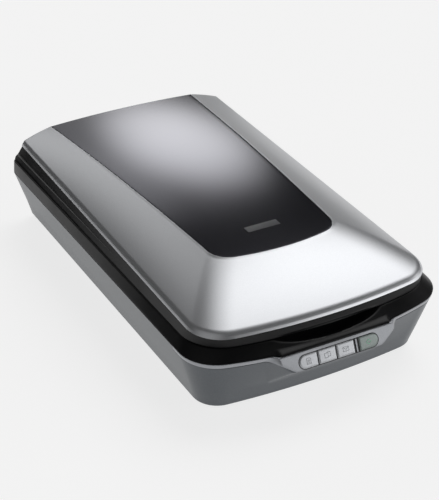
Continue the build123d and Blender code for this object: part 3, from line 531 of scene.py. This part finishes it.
def trim_point(index, z, sink):
    """A point on the trim's face, sunk below it by a depth."""
    a = crease[index]
    b = seam[index]
    t = (z - a[2]) / (b[2] - a[2])
    x = a[0] + (b[0] - a[0]) * t
    y = a[1] + (b[1] - a[1]) * t
    if abs(x) < 0.09 and y < -0.19:
        plate = chin_nose + (z - chin_level) * chin_slope
        plate += 1.2 * max(0.0, abs(x) - plate_half_top)
        y = soft_min(y, plate, 0.0026)
    before = seam[max(index - 1, 0)]
    after = seam[min(index + 1, len(seam) - 1)]
    along = Vector((after[0] - before[0], after[1] - before[1], 0)).normalized()
    inward = Vector((-along.y, along.x, 0))
    return (x + inward.x * sink, y + inward.y * sink, z)


first = next(i for i, p in enumerate(seam) if p[1] < strip_end)
last = len(seam) - 1 - first
columns = []
for i in range(first, last + 1):
    low = trim_bottom(seam[i][0], seam[i][1])
    high = seam[i][2] - 0.0003
    thick = 0.0014 if abs(seam[i][0]) > 0.066 else plate_back
    column = [trim_point(i, low + 0.0002, thick)]
    column += [trim_point(i, low, 0.0006), trim_point(i, low + 0.0002, 0.0002)]
    for k in range(15):
        t = k / 14
        bulge = -0.00018 * math.sin(math.pi * t)
        column.append(trim_point(i, low + 0.0006 + (high - low - 0.0012) * t, bulge))
    column += [trim_point(i, high - 0.0002, 0.0002), trim_point(i, high, 0.0006), trim_point(i, high, thick)]
    columns.append(column)
trim = new_solid("control_trim_skin", *capped(columns))

pill_half = 0.043
pill_radius = 0.0065
pill_up = 0.0076
button_rim = 0.0012
mail_end = 0.0171
start_left = 0.0216
key_width = (mail_end + pill_half) / 3
keys = {
    "document_button": (-pill_half, key_width),
    "copy_button": (key_width - pill_half, key_width),
    "mail_button": (2 * key_width - pill_half, key_width),
    "start_button": (start_left, pill_half - start_left),
}


def on_panel(across, up, out):
    """A point on the button panel: across it, up it and out of it."""
    return (
        across,
        chin_nose + up * math.sin(lean) - out * math.cos(lean),
        chin_level + up * math.cos(lean) + out * math.sin(lean),
    )


def key_outline(left, width, grow):
    """The outline of one key of the row, with round ends on the row's first and last keys."""
    low = left + button_rim / 2
    high = left + width - button_rim / 2
    first_key = left < -pill_half + 0.001
    last_key = left + width > pill_half - 0.001
    if first_key:
        low = -pill_half
    if last_key:
        high = pill_half
    rounds = (
        (high, 1, -1, last_key),
        (high, 1, 1, last_key),
        (low, -1, 1, first_key),
        (low, -1, -1, first_key),
    )
    points = []
    for edge, side, top, is_end in rounds:
        radius = max(0.0001, (pill_radius if is_end else 0.0008) + grow)
        centre_x = edge + side * (grow - radius)
        centre_y = top * (pill_radius + grow - radius)
        start = {(1, -1): -90, (1, 1): 0, (-1, 1): 90, (-1, -1): 180}[(side, top)]
        for k in range(9):
            angle = math.radians(start + 90 * k / 8)
            up = pill_up + centre_y + radius * math.sin(angle)
            points.append((centre_x + radius * math.cos(angle), up))
    return points


def panel_prism(flat, levels):
    """A prism on the panel from an outline per level."""
    return capped([[on_panel(u, v, out) for u, v in shape] for shape, out in zip(flat, levels)])


row_hole = key_outline(-pill_half, 2 * pill_half, 0.00075)
carve(trim, new_solid("row_cutter", *panel_prism([row_hole, row_hole], [-0.006, 0.004])))
trim_paint = new_material("trim_paint", (0.31, 0.32, 0.34), 0.32, 0.45)
mottle(trim_paint, (0.295, 0.305, 0.325), (0.325, 0.335, 0.355), 900.0, 1.0)
grain(trim_paint, 2600.0, 0.10, 0.00004)
finish_piece(trim, trim_paint, "base", "light_trim", "control_trim", sharp=38.0)

# A dark backing sheet behind the keys, which shows as a thin line round each of them.
row_fit = key_outline(-pill_half, 2 * pill_half, 0.0007)
backing = new_solid("key_backing", *panel_prism([row_fit, row_fit], [-0.0021, -0.0001]))
backing_dark = new_material("backing_dark", (0.010, 0.010, 0.011), 0.6)
mottle(backing_dark, (0.009, 0.009, 0.010), (0.012, 0.012, 0.013), 400.0)
cutters = []
for left, width in keys.values():
    shape = key_outline(left, width, 0.00012)
    cutters.append(panel_prism([shape, shape], [-0.006, 0.004]))
carve(backing, new_solid("backing_cutters", *gather(cutters)))
finish_piece(backing, backing_dark, "base", "dark_plastic")
bar = [(0.0186, 0.0014), (0.0200, 0.0014), (0.0200, 0.0138), (0.0186, 0.0138)]
divider = new_solid("key_divider", *panel_prism([bar, bar], [-0.0003, 0.0005]))
finish_piece(divider, trim_paint, "base", "light_trim")


# ---- Buttons
# Four silver key caps in a pill-shaped row, each slightly crowned with a rounded edge, with a
# small printed sign: a page, two sheets, an envelope and a green lozenge on the start key.
key_paint = new_material("key_paint", (0.42, 0.43, 0.45), 0.26, 0.5)
mottle(key_paint, (0.405, 0.415, 0.435), (0.435, 0.445, 0.465), 900.0, 1.0)
grain(key_paint, 2600.0, 0.08, 0.00003)
start_paint = new_material("start_paint", (0.20, 0.23, 0.22), 0.26, 0.4)
mottle(start_paint, (0.19, 0.22, 0.21), (0.21, 0.24, 0.23), 900.0, 1.0)
sign_ink = new_material("sign_ink", (0.045, 0.05, 0.055), 0.5)
mottle(sign_ink, (0.04, 0.045, 0.05), (0.05, 0.055, 0.06), 800.0)
green_ink = new_material("green_ink", (0.08, 0.55, 0.26), 0.45)
mottle(green_ink, (0.07, 0.52, 0.24), (0.10, 0.58, 0.28), 800.0)
key_face = 0.00078
key_grows = (0.0, 0.0, -0.00008, -0.00028, -0.0006, -0.0018)
key_levels = (-0.0032, 0.0001, 0.00038, 0.00058, 0.0007, key_face)
sign_size = 1.35
signs = {
    "document_button": [
        [
            (-0.0016, -0.0021),
            (0.0016, -0.0021),
            (0.0016, 0.0013),
            (0.0008, 0.0021),
            (-0.0016, 0.0021),
            (-0.0016, -0.0021),
        ],
        [(-0.0009, 0.0006), (0.0009, 0.0006)],
        [(-0.0009, -0.0003), (0.0009, -0.0003)],
        [(-0.0009, -0.0012), (0.0009, -0.0012)],
    ],
    "copy_button": [
        [(-0.0022, -0.0017), (0.0006, -0.0017), (0.0006, 0.0015), (-0.0022, 0.0015), (-0.0022, -0.0017)],
        [(0.0011, -0.0012), (0.0023, -0.0012), (0.0023, 0.0020), (-0.0005, 0.0020)],
    ],
    "mail_button": [
        [(-0.0023, -0.0015), (0.0023, -0.0015), (0.0023, 0.0015), (-0.0023, 0.0015), (-0.0023, -0.0015)],
        [(-0.0023, 0.0015), (0.0, -0.0003), (0.0023, 0.0015)],
    ],
    "start_button": [[(-0.0020, 0.0), (0.0, -0.0016), (0.0020, 0.0), (0.0, 0.0016), (-0.0020, 0.0)]],
}
key_bodies = {
    "document_button": "document_key",
    "copy_button": "copy_key",
    "mail_button": "mail_key",
    "start_button": "start_key",
}
for node, (left, width) in keys.items():
    shapes = [key_outline(left, width, grow) for grow in key_grows]
    key = new_solid(node + "_cap", *panel_prism(shapes, key_levels))
    paint = start_paint if node == "start_button" else key_paint
    finish_piece(key, paint, key_bodies[node], "button_silver", node, sharp=50.0)
    middle = left + width / 2
    strokes = bpy.data.curves.new(node + "_sign", "CURVE")
    strokes.dimensions = "3D"
    strokes.bevel_depth = 0.0002
    strokes.bevel_resolution = 1
    for stroke in signs[node]:
        line = strokes.splines.new("POLY")
        line.points.add(len(stroke) - 1)
        for point, (u, v) in zip(line.points, stroke):
            point.co = (*on_panel(middle + sign_size * u, pill_up + sign_size * v, key_face), 1.0)
    drawn = bpy.data.objects.new(node + "_sign", strokes)
    strokes.materials.append(green_ink if node == "start_button" else sign_ink)
    bpy.context.scene.collection.objects.link(drawn)
    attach(drawn, key_bodies[node])


# ---- Upper bezel
# The black moulded frame that closes the case and holds the glass. Its front has a long
# scooped recess for the fingers that lift the lid, with a rounded lip over the button panel.
table_level = 0.077
table_shape = (0.1298, 0.1364, -0.2144, 0.0176, 0.044)
hinge_x = 0.085
post_y = 0.222
post_slot = (0.0148, 0.0078, 0.030)
scoop_y = -0.213
scoop_radius = 0.015
scoop_half = 0.060
scoop_sweep = 0.200
scoop_level = 0.0835 + scoop_sweep
glass_low, glass_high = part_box("document_glass")


def table_ring(inset, level):
    """The outline of the bezel's flat top."""
    return [(x, y, level) for x, y in case_outline(table_shape, inset)]


def clamp_ring(half_x, y_low, y_high, level, ring):
    """A ring drawn in to a rectangle."""
    return [(max(-half_x, min(half_x, x)), max(y_low, min(y_high, y)), level) for x, y, z in ring]


def scooped(ring):
    """A ring lowered where it crosses the finger recess."""
    moved = []
    for x, y, z in ring:
        off = abs(y - scoop_y)
        if off < scoop_radius and abs(x) < 0.066:
            reach = scoop_sweep + math.sqrt(scoop_radius**2 - off**2)
            z = soft_min(z, scoop_level - math.sqrt(reach**2 - x**2), 0.0009)
        moved.append((x, y, z))
    return moved


def lipped(ring, share):
    """A ring of the bezel's wall, drawn forwards over the button panel under the recess."""
    moved = []
    for x, y, z in ring:
        if abs(x) < scoop_half and y < -0.19:
            lip = -0.2286 + 0.0012 * (abs(x) / scoop_half) ** 2
            y = min(y, y + (lip - y) * max(0.0, 1 - share / 0.30) ** 0.7) if lip < y else y
        moved.append((x, y, z))
    return moved


table = table_ring(0.0, table_level)
bezel_seam = seam_ring(0.0, 0.0004)
rings = [
    seam_ring(case_wall, 0.0),
    lipped(seam_ring(0.0007, 0.00015), 0.0),
    lipped(seam_ring(0.00015, 0.0004), 0.0),
]
for k in range(1, 15):
    rings.append(scooped(lipped(between(bezel_seam, table, k / 14.6), k / 14.6)))
rings.append(scooped(table_ring(0.0004, table_level - 0.00012)))
flat_top = table_ring(0.0010, table_level)
rings.append(scooped(flat_top))
glass_gap = 0.0004
glass_seat = clamp_ring(
    glass_high.x + glass_gap, glass_low.y - glass_gap, glass_high.y + glass_gap, table_level, flat_top
)
for k in range(1, 17):
    rings.append(scooped(between(flat_top, glass_seat, 0.02 * k)))
rings.append(glass_seat)
rings.append([(x, y, glass_low.z + 0.00005) for x, y, z in glass_seat])
ledge = 0.0038
bezel_under = 0.0725
window = clamp_ring(
    glass_high.x - ledge, glass_low.y + ledge, glass_high.y - ledge, bezel_under, glass_seat
)
rings.append([(x, y, glass_low.z + 0.00005) for x, y, z in window])
rings.append(window)
under_outer = [(x, y, bezel_under) for x, y, z in flat_top]
under_inner = [(x, y, bezel_under) for x, y, z in glass_seat]
under = between(under_outer, under_inner, 0.36)
rings.append(under)
lip_under = 0.0668
rings.append([(x, y, lip_under if y < -0.17 and abs(x) < 0.066 else bezel_under) for x, y, z in under])
count = len(rings[0])
points = [p for ring in rings for p in ring]
bezel = new_solid("upper_bezel_skin", points, loft_faces(count, len(rings), wrap=True))
cutters = []
for side in (-1, 1):
    cutters.append(box_points((side * hinge_x, post_y, 0.073), post_slot))
carve(bezel, new_solid("post_cutters", *gather(cutters)))
black_plastic = new_material("black_plastic", (0.0055, 0.0055, 0.006), 0.32, 0.0, 0.45)
mottle(black_plastic, (0.0050, 0.0050, 0.0055), (0.0065, 0.0065, 0.0070), 500.0)
grain(black_plastic, 2200.0, 0.10, 0.00003)
set_input(black_plastic, "IOR", 1.33)
vary_gloss(black_plastic, 0.28, 0.37, 30.0)
finish_piece(bezel, black_plastic, "base", "black_bezel", "upper_bezel", sharp=40.0)


# ---- Lid skirt
# The lid's black inner frame: a skirt that shows as a band under the silver cover, an inner
# plate that carries the mat, and notches at the back for the hinges.
skirt_bottom = 0.0774
skirt_side_front = 0.1298
skirt_side_back = 0.1344
skirt_nose = -0.2144
skirt_bow = 0.0176
skirt_corner = 0.044
lid_corner = 0.003
plate_low = 0.0840
plate_high = 0.0865
lid_back = 0.2332
hinge_y = 0.229
hinge_level = 0.0816
rim_side_front = 0.1275
rim_side_back = 0.1251
rim_nose = -0.2134
rim_bow = 0.0129
rim_corner = 0.037
rim_level = 0.0894
rim_tilt = 0.011
hinge_notch = (0.0248, 0.034, 0.0135)
film_half = 0.040
film_front = -0.097
film_back = 0.093


def skirt_low_ring(inset, level):
    """The skirt's lower outline."""
    flat = outline(
        skirt_side_front - inset,
        skirt_side_back - inset,
        skirt_nose + inset,
        skirt_bow,
        skirt_corner - inset,
        lid_back - inset,
        lid_corner,
    )
    return [(x, y, level) for x, y in flat]


def rim_ring(inset, lift):
    """The silver cover's lower outline, drawn in and lifted."""
    flat = outline(
        rim_side_front - inset,
        rim_side_back - inset,
        rim_nose + inset,
        rim_bow,
        rim_corner - inset,
        lid_back,
        lid_corner,
    )
    return [(x, y, rim_level + rim_tilt * y + lift) for x, y in flat]


def hinge_cleared(ring):
    """A ring whose back lower edge is rounded about the hinge line."""
    moved = []
    radius = lid_back - hinge_y
    for x, y, z in ring:
        if y > hinge_y and z < hinge_level:
            z = max(z, hinge_level - math.sqrt(max(0.0, radius**2 - (y - hinge_y) ** 2)))
        moved.append((x, y, z))
    return moved


def gripped(ring, share):
    """A ring of the skirt's wall with the rolled grip in the middle of its lower edge."""
    moved = []
    for x, y, z in ring:
        if y < -0.19 and abs(x) < 0.056:
            swell = math.cos(math.pi * x / 0.112) ** 0.6
            y -= 0.0016 * swell * max(0.0, 1 - abs(share - 0.16) / 0.16)
            z += 0.0012 * swell * max(0.0, 1 - share / 0.3)
        moved.append((x, y, z))
    return moved


low_ring = skirt_low_ring(0.0, skirt_bottom)
high_ring = rim_ring(0.0008, -0.0002)
rings = []
for inset in (0.0030, 0.0018, 0.0009):
    rings.append(hinge_cleared(gripped(skirt_low_ring(inset, skirt_bottom), 0.0)))
rings.append(hinge_cleared(gripped(skirt_low_ring(0.00035, skirt_bottom + 0.0001), 0.02)))
rings.append(hinge_cleared(gripped(skirt_low_ring(0.0001, skirt_bottom + 0.0004), 0.04)))
for t in (0.08, 0.12, 0.16, 0.20, 0.24, 0.28, 0.34, 0.5, 0.66, 0.82, 1.0):
    rings.append(hinge_cleared(gripped(between(low_ring, high_ring, t), t)))
rings.append(rim_ring(0.003, -0.0002))
rings.append([(x, y, plate_high) for x, y, z in rim_ring(0.0032, 0.0)])
film_window = clamp_ring(film_half, film_front, film_back, plate_high, rings[-1])
rings.append(film_window)
rings.append([(x, y, plate_low) for x, y, z in film_window])
rings.append([(x, y, plate_low) for x, y, z in skirt_low_ring(0.0032, 0.0)])
count = len(rings[0])
points = [p for ring in rings for p in ring]
skirt = new_solid("lid_frame_skin", points, loft_faces(count, len(rings), wrap=True))
cutters = []
for side in (-1, 1):
    cutters.append(box_points((side * hinge_x, 0.233, 0.08315), hinge_notch))
carve(skirt, new_solid("notch_cutters", *gather(cutters)))
finish_piece(skirt, black_plastic, "lid", "black_bezel", "lid_frame", sharp=40.0)


# ---- Lid shell
# One large moulding in fine metallic silver paint: a short turned rim, then long slopes that
# rise in a soft curve to the seat of the dark panel, which has a slightly raised bright edge.
panel_low, panel_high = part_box("lid_panel")
crown_top = panel_high.z
crown_across = 1.5
crown_along = 4.14
crown_peak = -0.040
panel_side_front = 0.068
panel_side_back = panel_high.x
panel_nose = panel_low.y
panel_bow = 0.012
panel_corner = 0.024


def crown(x, y):
    """Height of the lid's crowned top."""
    return crown_top - x * x / (2 * crown_across) - (y - crown_peak) ** 2 / (2 * crown_along)


def panel_ring(grow, sink=0.0):
    """The dark panel's outline, grown outwards, on the crown or sunk below it."""
    flat = outline(
        panel_side_front + grow,
        panel_side_back + grow,
        panel_nose - grow,
        panel_bow,
        panel_corner + grow,
        lid_back,
        0.0005,
    )
    return [(x, y, crown(x, y) - sink) for x, y in flat]


rim_height = 0.0036
seat_lip = 0.0013
seat_gap = 0.00035
slope_bulge = 0.30
rings = [
    rim_ring(0.0016, 0.0006),
    rim_ring(0.0004, 0.0),
    rim_ring(0.0, 0.0004),
    rim_ring(0.0003, 0.0010),
    rim_ring(0.0011, rim_height - 0.0012),
    rim_ring(0.0014, rim_height - 0.0007),
    rim_ring(0.0017, rim_height - 0.0004),
    rim_ring(0.0023, rim_height + 0.0003),
    rim_ring(0.0034, rim_height + 0.0016),
]
foot = rings[-1]
head = panel_ring(seat_lip)
for k in range(1, 24):
    s = k / 24
    rise = s + slope_bulge * s * (1 - s)
    ring = []
    for a, b in zip(foot, head):
        ring.append((a[0] + (b[0] - a[0]) * s, a[1] + (b[1] - a[1]) * s, a[2] + (b[2] - a[2]) * rise))
    rings.append(ring)
rings.append(head)
rings.append(panel_ring(0.0010, -0.00022))
rings.append(panel_ring(0.0006, -0.00022))
rings.append(panel_ring(seat_gap, 0.0))
rings.append(panel_ring(seat_gap, 0.0020))
count = len(rings[0])
points = [p for ring in rings for p in ring]
faces = loft_faces(count, len(rings), closed=False)
left_profile = [level * count for level in range(1, len(rings))]
right_profile = [level * count + count - 1 for level in range(1, len(rings))]
faces.append(tuple(left_profile + list(reversed(right_profile))))
lid_skin = new_solid("lid_shell_skin", points, faces)
silver_paint = new_material("silver_paint", (0.60, 0.61, 0.63), 0.33, 0.85)
mottle(silver_paint, (0.585, 0.595, 0.615), (0.615, 0.625, 0.645), 1100.0, 1.0)
grain(silver_paint, 2800.0, 0.08, 0.00003)
set_input(silver_paint, "Coat Weight", 0.15)
set_input(silver_paint, "Coat Roughness", 0.10)
finish_piece(lid_skin, silver_paint, "lid", "silver_lid", "lid_shell", sharp=65.0)


# ---- Lid panel
# A crowned plate of glossy near-black plastic let into the cover, flush with the silver, with
# a fine rounded edge and a narrow dark gap. A small blank name plate is set near its front.
edge_round = 0.0003
inner = panel_ring(-0.0012)
half = len(inner) // 2
mirror_rows = []
for i in range(half + 1):
    left_point = inner[i]
    right_point = inner[len(inner) - 1 - i]
    row = []
    for k in range(41):
        x = left_point[0] + (right_point[0] - left_point[0]) * k / 40
        row.append((x, left_point[1], crown(x, left_point[1])))
    mirror_rows.append(row)
top_points = [p for row in mirror_rows for p in row]
top_faces = loft_faces(41, len(mirror_rows), closed=False)
border = [
    inner,
    panel_ring(-0.0005, 0.00002),
    panel_ring(-0.0002, 0.0001),
    panel_ring(0.0, edge_round),
    panel_ring(0.0, 0.0020),
]
border_points = [p for ring in border for p in ring]
border_faces = loft_faces(len(inner), len(border), closed=False)
panel_skin = new_solid("lid_panel_skin", *gather([(top_points, top_faces), (border_points, border_faces)]))
panel_gloss = new_material("panel_gloss", (0.0055, 0.0055, 0.0075), 0.13)
mottle(panel_gloss, (0.0052, 0.0052, 0.0072), (0.0058, 0.0058, 0.0078), 400.0)
vary_gloss(panel_gloss, 0.12, 0.14, 5.0)
set_input(panel_gloss, "Specular Tint", (0.80, 0.80, 1.0, 1.0))
finish_piece(panel_skin, panel_gloss, "lid", "panel_gloss", "lid_panel", sharp=65.0)



def rounded_sheet(half_x, mid_y, half_y, radius, grow, steps):
    """The outline of a sheet with round corners."""
    ring = []
    for side_x, side_y, start in ((1, -1, -90), (1, 1, 0), (-1, 1, 90), (-1, -1, 180)):
        for k in range(steps + 1):
            angle = math.radians(start + 90 * k / steps)
            x = side_x * (half_x - radius) + (radius + grow) * math.cos(angle)
            y = mid_y + side_y * (half_y - radius) + (radius + grow) * math.sin(angle)
            ring.append((x, y))
    return ring


badge_low, badge_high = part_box("lid_badge")
badge_mid = (badge_low.y + badge_high.y) / 2
badge_half = 0.005
badge_corner = 0.0008
badge_rings = []
for grow, out in ((0.0, -0.0003), (0.0, 0.00015), (-0.00015, 0.00028), (-0.0006, 0.00030)):
    flat = rounded_sheet(badge_high.x, badge_mid, badge_half, badge_corner, grow, 4)
    badge_rings.append([(x, y, crown(x, y) + out) for x, y in flat])
badge = new_solid("lid_badge_plate", *capped(badge_rings))
badge_metal = new_material("badge_metal", (0.030, 0.031, 0.034), 0.30, 0.35)
grain(badge_metal, 900.0, 0.25, 0.00002, 2.0, (1.0, 12.0, 12.0))
mottle(badge_metal, (0.022, 0.023, 0.026), (0.042, 0.043, 0.047), 700.0, 2.0, (1.0, 10.0, 10.0))
finish_piece(badge, badge_metal, "lid", "badge_metal", "lid_badge")


# ---- Document mat
# A white sheet backed with soft foam, glued under the lid. Its edge is slightly swollen and
# its corners are round. It presses originals flat on the glass.
mat_low, mat_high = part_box("document_mat")
mat_mid = (mat_low.y + mat_high.y) / 2
mat_half = (mat_high.y - mat_low.y) / 2
mat_corner = 0.005
mat_edge = (
    (-0.004, mat_low.z),
    (-0.0012, mat_low.z + 0.0002),
    (-0.0002, mat_low.z + 0.0012),
    (0.0, (mat_low.z + mat_high.z) / 2),
    (-0.0002, mat_high.z - 0.0008),
    (-0.0006, mat_high.z),
)
mat_rings = []
for grow, level in mat_edge:
    flat = rounded_sheet(mat_high.x, mat_mid, mat_half, mat_corner, grow, 8)
    mat_rings.append([(x, y, level) for x, y in flat])
mat = new_solid("document_mat_sheet", *capped(mat_rings))
mat_white = new_material("mat_white", (0.80, 0.80, 0.79), 0.55)
mottle(mat_white, (0.78, 0.78, 0.77), (0.82, 0.82, 0.81), 300.0)
grain(mat_white, 900.0, 0.2, 0.0001)
finish_piece(mat, mat_white, "lid", "white_foam", "document_mat", sharp=60.0)


# ---- Rubber feet
# Four moulded rubber pads, dished slightly where they meet the floor, pressed into the case.
foot_x = 0.0965
foot_front = -0.1684
foot_back = 0.211
pad_profile = [
    (0.0045, 0.0004),
    (0.0060, 0.0001),
    (0.0070, 0.0),
    (0.0077, 0.0004),
    (0.0080, 0.0011),
    (0.0080, 0.0040),
    (0.0077, 0.0052),
]
feet_parts = []
for x in (-foot_x, foot_x):
    for y in (foot_front, foot_back):
        feet_parts.append(turned(pad_profile, x, y, 40))
feet = new_solid("rubber_feet_pads", *gather(feet_parts))
foot_rubber = new_material("foot_rubber", (0.022, 0.022, 0.023), 0.75)
mottle(foot_rubber, (0.019, 0.019, 0.020), (0.027, 0.027, 0.028), 500.0)
grain(foot_rubber, 1500.0, 0.3, 0.00008)
finish_piece(feet, foot_rubber, "base", "rubber_black", "rubber_feet", sharp=50.0)


# ---- Glass and white strip
# The clear document glass, and the matt white strip under its back end that sets the white level.


def dress(material, *nodes):
    """Gives kept CAD nodes a material."""
    for node in nodes:
        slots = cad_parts[node].material_slots
        for slot in slots:
            slot.material = material


clear_glass = new_material("clear_glass", (0.90, 0.95, 0.93), 0.02)
set_input(clear_glass, "Transmission Weight", 1.0)
set_input(clear_glass, "IOR", 1.52)
mottle(clear_glass, (0.90, 0.95, 0.93), (0.91, 0.96, 0.94), 10.0)
vary_gloss(clear_glass, 0.004, 0.008, 4.0)
dress(clear_glass, "document_glass")
strip_white = new_material("strip_white", (0.82, 0.82, 0.80), 0.6)
mottle(strip_white, (0.80, 0.80, 0.78), (0.84, 0.84, 0.82), 200.0)
grain(strip_white, 1200.0, 0.1, 0.00005)
dress(strip_white, "calibration_strip", "light_housing")


# ---- Carriage and drive
# A black moulded carriage slides on a ground steel rod and a plain rail. A stepping motor
# turns a white nylon gear, which pulls the carriage along with a toothed rubber belt.
carriage_black = new_material("carriage_black", (0.018, 0.018, 0.020), 0.5)
mottle(carriage_black, (0.015, 0.015, 0.017), (0.022, 0.022, 0.024), 300.0)
grain(carriage_black, 1400.0, 0.3, 0.00008)
dress(
    carriage_black, "rod_clips", "slide_rail", "home_sensor", "power_jack", "option_port", "transport_lock",
    "carriage_housing", "hinge_posts", "belt_clip",
)
sheet_steel = new_material("sheet_steel", (0.56, 0.57, 0.58), 0.34, 1.0)
mottle(sheet_steel, (0.52, 0.53, 0.54), (0.60, 0.61, 0.62), 120.0, 3.0, (1.0, 8.0, 1.0))
grain(sheet_steel, 700.0, 0.2, 0.00003, 2.0, (1.0, 10.0, 1.0))
dress(
    sheet_steel, "guide_rod", "motor_bracket", "gear_plate", "idler_bracket", "tension_spring",
    "pulley_axles", "hinge_pins", "hinge_brackets",
)
screw_zinc = new_material("screw_zinc", (0.50, 0.50, 0.49), 0.30, 1.0)
mottle(screw_zinc, (0.44, 0.44, 0.43), (0.56, 0.56, 0.55), 600.0)
dress(screw_zinc, "board_screws", "case_screws", "lid_screws")
belt_rubber = new_material("belt_rubber", (0.020, 0.020, 0.021), 0.7)
grain(belt_rubber, 500.0, 0.8, 0.0002, 0.0, (0.1, 1.0, 0.1))
mottle(belt_rubber, (0.017, 0.017, 0.018), (0.025, 0.025, 0.026), 400.0)
dress(belt_rubber, "drive_belt")
motor_case = new_material("motor_case", (0.42, 0.43, 0.44), 0.38, 1.0)
mottle(motor_case, (0.38, 0.39, 0.40), (0.46, 0.47, 0.48), 150.0)
dress(motor_case, "drive_motor")
turned_brass = new_material("turned_brass", (0.62, 0.45, 0.18), 0.28, 1.0)
mottle(turned_brass, (0.56, 0.40, 0.15), (0.68, 0.50, 0.21), 300.0)
dress(turned_brass, "motor_pinion", "rod_bushings")
nylon_white = new_material("nylon_white", (0.74, 0.73, 0.68), 0.42)
mottle(nylon_white, (0.71, 0.70, 0.65), (0.77, 0.76, 0.71), 200.0)
dress(nylon_white, "reduction_gear", "idler_pulley")


# ---- Optics
# Thin lamp tubes, a bright bent reflector, four long mirrors and a black lens barrel.
lamp_white = new_material("lamp_white", (0.88, 0.89, 0.90), 0.18)
mottle(lamp_white, (0.85, 0.86, 0.87), (0.91, 0.92, 0.93), 120.0)
dress(lamp_white, "scan_lamp", "film_lamp")
bright_strip = new_material("bright_strip", (0.85, 0.86, 0.87), 0.14, 1.0)
mottle(bright_strip, (0.82, 0.83, 0.84), (0.88, 0.89, 0.90), 90.0)
dress(bright_strip, "lamp_reflector")
mirror_silver = new_material("mirror_silver", (0.90, 0.91, 0.92), 0.03, 1.0)
mottle(mirror_silver, (0.88, 0.89, 0.90), (0.92, 0.93, 0.94), 60.0)
vary_gloss(mirror_silver, 0.02, 0.05, 20.0)
dress(mirror_silver, "scan_mirrors")
lens_black = new_material("lens_black", (0.012, 0.012, 0.014), 0.25)
mottle(lens_black, (0.010, 0.010, 0.012), (0.016, 0.016, 0.018), 200.0)
dress(lens_black, "lens_barrel")
opal_sheet = new_material("opal_sheet", (0.86, 0.87, 0.87), 0.35)
mottle(opal_sheet, (0.84, 0.85, 0.85), (0.88, 0.89, 0.89), 80.0)
dress(opal_sheet, "film_diffuser")


# ---- Boards, sockets and ribbon
# Green circuit boards with a faint pattern of tracks, a plated data socket and a pale ribbon.
board_green = new_material("board_green", (0.020, 0.11, 0.045), 0.35)
mottle(board_green, (0.012, 0.075, 0.030), (0.035, 0.16, 0.065), 260.0, 0.0, (1.0, 3.0, 1.0))
dress(board_green, "button_board", "main_board", "sensor_board", "inverter_board")
socket_plate = new_material("socket_plate", (0.66, 0.66, 0.65), 0.22, 1.0)
mottle(socket_plate, (0.62, 0.62, 0.61), (0.70, 0.70, 0.69), 250.0)
dress(socket_plate, "usb_port")
ribbon_pale = new_material("ribbon_pale", (0.72, 0.73, 0.74), 0.4)
mottle(ribbon_pale, (0.62, 0.63, 0.65), (0.80, 0.81, 0.82), 500.0, 0.0, (1.0, 0.02, 1.0))
dress(ribbon_pale, "flat_cable")
